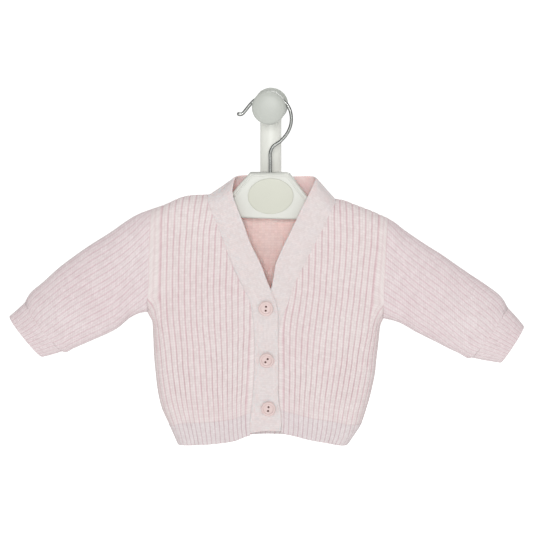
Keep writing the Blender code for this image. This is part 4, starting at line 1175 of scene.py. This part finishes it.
def free_rows(length):
    """Even steps from a free edge, with closer ones where the edge is round."""
    count = max(int(round((length - EDGE_ROUND) / ROW_HIGH)), 1)
    even = EDGE_ROUND + np.arange(count + 1) / count * (length - EDGE_ROUND)
    return np.concatenate([EDGE_ROUND * np.array(EDGE_ROWS), even])


def drawn_rib(level):
    """The ribs of the body, lower toward its hem, where the knit is drawn together."""
    share = np.clip((level - DRAWN_LEVELS[0]) / (DRAWN_LEVELS[1] - DRAWN_LEVELS[0]), 0.0, 1.0)
    share = share * share * (3 - 2 * share)
    return Rib(*(body + (drawn - body) * share for body, drawn in zip(BODY_RIB, DRAWN_RIB)))


def knitted_wall(name, piece, low, high, rows, is_hem):
    """One ribbed piece over a face of the body, from its lower edge to its upper one."""
    face = "back" if piece == "back" else "front"
    places = rib_places(RIB_COUNTS[piece])
    share = rows[:, None]
    level = low + share * (high - low)
    x = column_x(piece, places, level)
    phase = rib_phase(piece, places, level)
    side = "right" if piece == "front_right" else "left"
    at_armhole = (places == 0.0) & (above_underarm(side, level) > 0.0)
    if piece == "back":
        at_armhole = at_armhole | ((places == places[-1])
                                   & (above_underarm("right", level) > 0.0))
    tall = high - low
    rib = HEM_RIB if is_hem else drawn_rib(level)
    outer, inner = lifts(phase, rib, (share * tall, is_hem),
                         ((1 - share) * tall, False), len(piece), level)
    outside = body_points(face, x, level, outer, at_armhole)
    inside = body_points(face, x, level, inner, at_armhole)
    courses = run_of(outside) / (FINE_COURSE if is_hem else COURSE)
    mesh = wall(name, outside, inside, phase * WALES_PER_RIB, courses,
                ("low",) if is_hem else ())
    skins = [HEM_KNIT, HEM_KNIT] if is_hem else [RIB_KNIT, RIB_KNIT_BACK]
    show_cloth(name, mesh, skins + [SEAM_EDGE])


def make_body():
    for piece, ribs in RIB_COUNTS.items():
        places = rib_places(ribs)
        low = panel_low(piece, places, HEM_DEEP + HEM_JOIN)
        high = panel_top(piece, places)
        longest = (high - low).max()
        rows = arc_rows(longest, SHOULDER_ROUND) / longest
        knitted_wall(piece, piece, low, high, rows, False)
        knitted_wall("hem_" + piece, piece, panel_low(piece, places, 0.0),
                     panel_low(piece, places, HEM_DEEP), free_rows(HEM_DEEP) / HEM_DEEP, True)


# ---- sleeves and cuffs --------------------------------------------------------------------
def ring_points(ring, parts, lift):
    """Points of one section of a tube, at parts of the way round from its lowest point."""
    top_x, top_level, low_x, low_level, half_depth, round_part = ring
    up = np.array([top_x - low_x, 0.0, top_level - low_level])
    tall = np.linalg.norm(up) - 2 * CREST
    up /= np.linalg.norm(up)
    start = np.array([low_x, MIDDLE, low_level]) + up * CREST
    turn = 2 * math.pi * np.arange(RING_STEPS + 1) / RING_STEPS
    height = HALF - HALF * np.cos(turn)
    full = swell(height / round_part) * swell((1 - height) / round_part)
    depth = np.copysign((half_depth - CREST) * np.sqrt(np.maximum(full, 0.0)), np.sin(turn))
    outline = np.stack([depth, height * tall], axis=1)
    outline[-1] = outline[0]
    length = run_of(outline)
    run = np.roll(outline[:-1], -1, axis=0) - np.roll(outline[:-1], 1, axis=0)
    run = unit(np.concatenate([run, run[:1]]))
    goal = parts * length[-1]
    depth, height, run_depth, run_height = (
        np.interp(goal, length, values)
        for values in (outline[:, 0], outline[:, 1], run[:, 0], run[:, 1]))
    size = np.hypot(run_depth, run_height)
    depth = depth + run_height / size * lift
    height = height - run_depth / size * lift
    return start + up * height[:, None] + np.stack([0 * depth, depth, 0 * depth], axis=1)


def make_tube(name, rings, is_cuff):
    """A ribbed tube through a table of sections, open at both ends."""
    sections = np.array(rings)
    run = run_of((sections[:, 0:2] + sections[:, 2:4]) / 2)
    steps = arc_rows(run[-1], 0.0)
    ribs, course, free = SLEEVE_RIBS, COURSE, ()
    if is_cuff:
        steps = run[-1] - free_rows(run[-1])[::-1]
        ribs, course, free = CUFF_RIBS, FINE_COURSE, ("high",)
    rows = tuple(TubeRow(at, *ring) for at, ring in zip(run, rings))
    places = rib_places(ribs, closed=True)
    outside, inside = [], []
    for at in steps:
        ring = [read(rows, column, at) for column in Ring._fields]
        outer, inner = lifts(places, SLEEVE_RIB, (at, False),
                             (run[-1] - at, is_cuff), len(name), at)
        twist = 0.0 if is_cuff else read(TWISTS, name[len("sleeve_"):], at)
        parts = (places - twist + WANDER / RIB_WIDE * waves(places, at, ribs)) / ribs % 1.0
        outside.append(ring_points(ring, parts, outer))
        inside.append(ring_points(ring, parts, inner + 0 * places))
    outside, inside = np.array(outside), np.array(inside)
    wales = np.append(places, ribs) * WALES_PER_RIB
    mesh = wall(name, outside, inside, wales, run_of(outside) / course, free, closed=True)
    show_cloth(name, mesh, [FINE_KNIT, RIB_KNIT_BACK, SEAM_EDGE])


def make_sleeves():
    make_tube("sleeve_left", SLEEVE_LEFT, False)
    make_tube("sleeve_right", SLEEVE_RIGHT, False)
    make_tube("cuff_left", CUFF_LEFT, True)
    make_tube("cuff_right", CUFF_RIGHT, True)


# ---- turned and moulded pieces ------------------------------------------------------------
def solid_mesh(name, bm, sharp=None):
    """A smooth mesh that faces out; edges sharper than sharp stay as they are."""
    bmesh.ops.recalc_face_normals(bm, faces=bm.faces)
    mesh = bpy.data.meshes.new(name)
    bm.to_mesh(mesh)
    bm.free()
    mesh.shade_smooth()
    if sharp:
        mesh.set_sharp_from_angle(angle=sharp)
    return mesh


def loft(name, rings, sharp=None):
    """A closed solid through rings of points, with a flat face over each end."""
    bm = bmesh.new()
    rows = [[bm.verts.new(np.asarray(point) * MM) for point in ring] for ring in rings]
    for row, above in zip(rows, rows[1:]):
        for k in range(len(row)):
            other = (k + 1) % len(row)
            bm.faces.new((row[k], row[other], above[other], above[k]))
    bm.faces.new(rows[0][::-1])
    bm.faces.new(rows[-1])
    return solid_mesh(name, bm, sharp)


def softened(profile, times):
    """A half section with its corners cut again and again until they are round."""
    line = np.array(profile)
    for _ in range(times):
        first, last = line[:-1], line[1:]
        cut = (last - first) * CORNER_CUT
        cuts = np.stack([first + cut, last - cut], axis=1)
        line = np.concatenate([line[:1], cuts.reshape(-1, 2)[1:-1], line[-1:]])
    return line


def turned(name, profile, steps, place):
    """A solid turned about an axis along Y from its half section."""
    turn = circle(steps)
    rings = [np.stack([radius * np.cos(turn), np.full(steps, depth), radius * np.sin(turn)],
                      axis=1) + place for radius, depth in profile]
    return loft(name, rings)


def make_buttons():
    for number, button in enumerate(BUTTONS, start=1):
        name = "button_%d" % number
        base = body_points("front", button.x, button.level, 0.0)
        place = base - np.array([0.0, OVER + BAND_WALL + BUTTON_CLEAR, 0.0])
        profile = softened(BUTTON_PROFILE, BUTTON_CUTS)
        blank = placed(name, turned(name, profile, BUTTON_STEPS, place))
        turn = math.radians(button.turn)
        apart = np.array([math.sin(turn), 0.0, math.cos(turn)]) * BUTTON_HOLE_APART / 2
        drills = []
        for side in (-1.0, 1.0):
            hole = (Turn(BUTTON_HOLE, -DRILL_HALF), Turn(BUTTON_HOLE, DRILL_HALF))
            drill = placed("drill", turned("drill", hole, HOLE_STEPS, place + side * apart))
            boolean = blank.modifiers.new("hole", "BOOLEAN")
            boolean.object = drill
            drills.append(drill)
        graph = bpy.context.evaluated_depsgraph_get()
        mesh = bpy.data.meshes.new_from_object(blank.evaluated_get(graph))
        for spent in drills + [blank]:
            bpy.data.objects.remove(spent)
        mesh.shade_smooth()
        mesh.set_sharp_from_angle(angle=HOLE_SHARP)
        show("two_hole_" + name, mesh, [BUTTON_PLASTIC], name)
        for side, word in ((-1.0, "low"), (1.0, "high")):
            thread = turned("thread", softened(THREAD_PROFILE, THREAD_CUTS), HOLE_STEPS,
                            place + side * apart)
            show("%s_thread_%s" % (name, word), thread, [SEWING_THREAD], None)


def arm_line(root_x, tip_x):
    """Upper edge of an arm, from its root to its tip, under the shoulder's top line."""
    xs = np.linspace(root_x, tip_x, ARM_POINTS)
    line = np.stack([xs, read(TOP_LINE, "level", xs) - ARM_CLEAR], axis=1)
    line[0, 1] -= ARM_ROOT_DROP
    return line


def arm_low(line):
    deep = np.linspace(ARM_ROOT_DEEP, ARM_TIP_DEEP, len(line))
    return line - np.stack([0 * deep, deep], axis=1)


def make_hanger():
    left = arm_line(ARM_ROOT_LEFT, ARM_TIP_LEFT)
    right = arm_line(ARM_ROOT_RIGHT, ARM_TIP_RIGHT)
    outline = np.concatenate([np.array(HEAD_TOP), right, arm_low(right)[::-1],
                              np.array(HEAD_LOW), arm_low(left), left[::-1]])
    bm = bmesh.new()
    face = bm.faces.new([bm.verts.new(Vector((x, MIDDLE - HANGER_HALF, level)) * MM)
                         for x, level in outline])
    push = bmesh.ops.extrude_face_region(bm, geom=[face])
    moved = [part for part in push["geom"] if isinstance(part, bmesh.types.BMVert)]
    bmesh.ops.translate(bm, verts=moved, vec=(0.0, 2 * HANGER_HALF * MM, 0.0))
    hanger = show("moulded_hanger", solid_mesh("hanger", bm), [HANGER_PLASTIC], "hanger")
    bevel = hanger.modifiers.new("round", "BEVEL")
    bevel.width = HANGER_BEVEL * MM
    bevel.segments = HANGER_BEVEL_STEPS
    bevel.limit_method = "ANGLE"
    bevel.angle_limit = HANGER_BEVEL_FROM
    bevel.harden_normals = True


def swept(name, line, depth, halves, sides):
    """A rod along a line of x and level; halves are its half width and half depth on the way."""
    turn = circle(sides)
    rings = []
    for (x, level), (run_x, run_level), (wide, deep) in zip(
            line, unit(np.gradient(line, axis=0)), halves):
        side = wide * np.cos(turn)
        rings.append(np.stack([x - run_level * side, depth + deep * np.sin(turn),
                               level + run_x * side], axis=1))
    return loft(name, rings)


def make_lip():
    """A low rounded lip moulded along the upper edges of the hanger's head."""
    line = smooth_route(LIP, LIP_STEPS)
    mesh = swept("lip", line, MIDDLE - HANGER_HALF, [(LIP_HALF, LIP_HIGH)] * len(line),
                 LIP_SIDES)
    show("hanger_lip", mesh, [HANGER_PLASTIC], None)


def make_badge():
    """A bare oval plate, a little domed, with a rounded edge."""
    turn = circle(BADGE_STEPS)
    face = MIDDLE - HANGER_HALF
    half = np.array([BADGE_WIDE, BADGE_TALL]) / 2
    rings = [(share * (half - BADGE_EDGE), face - BADGE_THICK - BADGE_DOME * (1 - share * share))
             for share in BADGE_RINGS]
    for k in range(1, BADGE_EDGE_STEPS + 1):
        bend = math.pi / 2 * k / BADGE_EDGE_STEPS
        rings.append((half + BADGE_EDGE * (math.sin(bend) - 1),
                      face - BADGE_THICK + BADGE_EDGE * (1 - math.cos(bend))))
    rings.append((half, face))
    tilt = np.array([[math.cos(BADGE_TILT), math.sin(BADGE_TILT)],
                     [-math.sin(BADGE_TILT), math.cos(BADGE_TILT)]])
    solid = []
    for (wide, tall), depth in rings:
        oval = np.stack([wide * np.cos(turn), tall * np.sin(turn)], axis=1) @ tilt
        solid.append(np.stack([oval[:, 0] + BADGE_X, np.full(BADGE_STEPS, depth),
                               oval[:, 1] + BADGE_LEVEL], axis=1))
    show("bare_badge", loft("badge", solid), [BADGE_PLASTIC], "hanger_badge")


def make_hook():
    """Round wire bent in one plane, with a rounded tip."""
    route = smooth_route(HOOK_ROUTE, HOOK_STEPS)
    tip = route[-1] - route[-1 - HOOK_STEPS // 2]
    tip[2] = 0.0
    tip = unit(tip)
    end = route[-1]
    for k in range(1, TIP_STEPS + 1):
        bend = math.pi / 2 * k / TIP_STEPS
        past = end + tip * WIRE * end[2] * math.sin(bend)
        past[2] = max(end[2] * math.cos(bend), TIP_END)
        route = np.concatenate([route, past[None]])
    mesh = swept("hook", route[:, :2], MIDDLE, WIRE * route[:, [2, 2]], WIRE_SIDES)
    show("wire_hook", mesh, [STEEL_WIRE], "hook")


def make_peg():
    mesh = turned("peg", softened(PEG_PROFILE, PEG_CUTS), PEG_STEPS, np.zeros(3))
    show("turned_peg", mesh, [PEG_PLASTIC], "peg")


def make_bar():
    """An upright with a flat back and a round front."""
    turn = math.pi * np.arange(BAR_STEPS + 1) / BAR_STEPS
    front = np.stack([BAR_HALF * np.cos(turn),
                      -BAR_EDGE - (BAR_DEEP - BAR_EDGE) * np.sin(turn)], axis=1)
    outline = np.concatenate([[[BAR_HALF, 0.0]], front, [[-BAR_HALF, 0.0]]])
    middle = np.array([0.0, -BAR_EDGE])
    rings = []
    for level, up in ((BAR_LOW, 1.0), (BAR_TOP, -1.0)):
        for k in range(BAR_ROUND_STEPS + 1):
            bend = math.pi / 2 * k / BAR_ROUND_STEPS
            if up < 0.0:
                bend = math.pi / 2 - bend
            drawn = BAR_ROUND * (1 - math.sin(bend))
            at = level + up * BAR_ROUND * (1 - math.cos(bend))
            shape = (outline - middle) * (1 - drawn / BAR_HALF) + middle
            shape[:, 1] = np.where(outline[:, 1] == 0.0, 0.0, shape[:, 1])
            rings.append(np.stack([shape[:, 0] + BAR_X, shape[:, 1],
                                   np.full(len(shape), at)], axis=1))
    show("post", loft("bar", rings, BAR_SHARP), [BAR_PLASTIC], "wall_bar")


# ---- the whole ----------------------------------------------------------------------------
def place_camera():
    toward = Vector((math.sin(CAMERA_TURN) * math.cos(CAMERA_RAISE),
                     -math.cos(CAMERA_TURN) * math.cos(CAMERA_RAISE),
                     math.sin(CAMERA_RAISE)))
    data = bpy.data.cameras.new("camera")
    data.sensor_width = SENSOR
    data.lens = SENSOR * CAMERA_FAR / FRAME_WIDE
    data.clip_end = CAMERA_SEES
    camera = placed("camera", data)
    camera.location = (Vector(CAMERA_TARGET) + toward * CAMERA_FAR) * MM
    camera.rotation_euler = toward.to_track_quat("Z", "Y").to_euler()
    bpy.context.scene.camera = camera


def place_lights():
    world = bpy.data.worlds.new("studio")
    world.use_nodes = True
    ground = world.node_tree.nodes["Background"]
    ground.inputs["Color"].default_value = (1.0, 1.0, 1.0, 1.0)
    ground.inputs["Strength"].default_value = WORLD_LIGHT
    bpy.context.scene.world = world
    for name, place, size, power in LAMPS:
        data = bpy.data.lights.new(name, "AREA")
        data.shape = "SQUARE"
        data.size = size
        data.energy = power
        lamp = placed(name, data)
        lamp.location = place
        aim = Vector(place) - Vector(CAMERA_TARGET) * MM
        lamp.rotation_euler = aim.to_track_quat("Z", "Y").to_euler()


def lay_floor():
    bm = bmesh.new()
    bmesh.ops.create_grid(bm, x_segments=FLOOR_SQUARES, y_segments=FLOOR_SQUARES,
                          size=FLOOR_SIZE / 2)
    floor = placed("floor", solid_mesh("floor", bm))
    floor.location.z = FLOOR_LEVEL * MM
    floor.data.materials.append(floor_material())


place_camera()
place_lights()
lay_floor()
make_body()
make_sleeves()
make_band()
make_buttons()
make_hanger()
make_lip()
make_badge()
make_hook()
make_peg()
make_bar()
bpy.context.scene.view_settings.view_transform = "Standard"
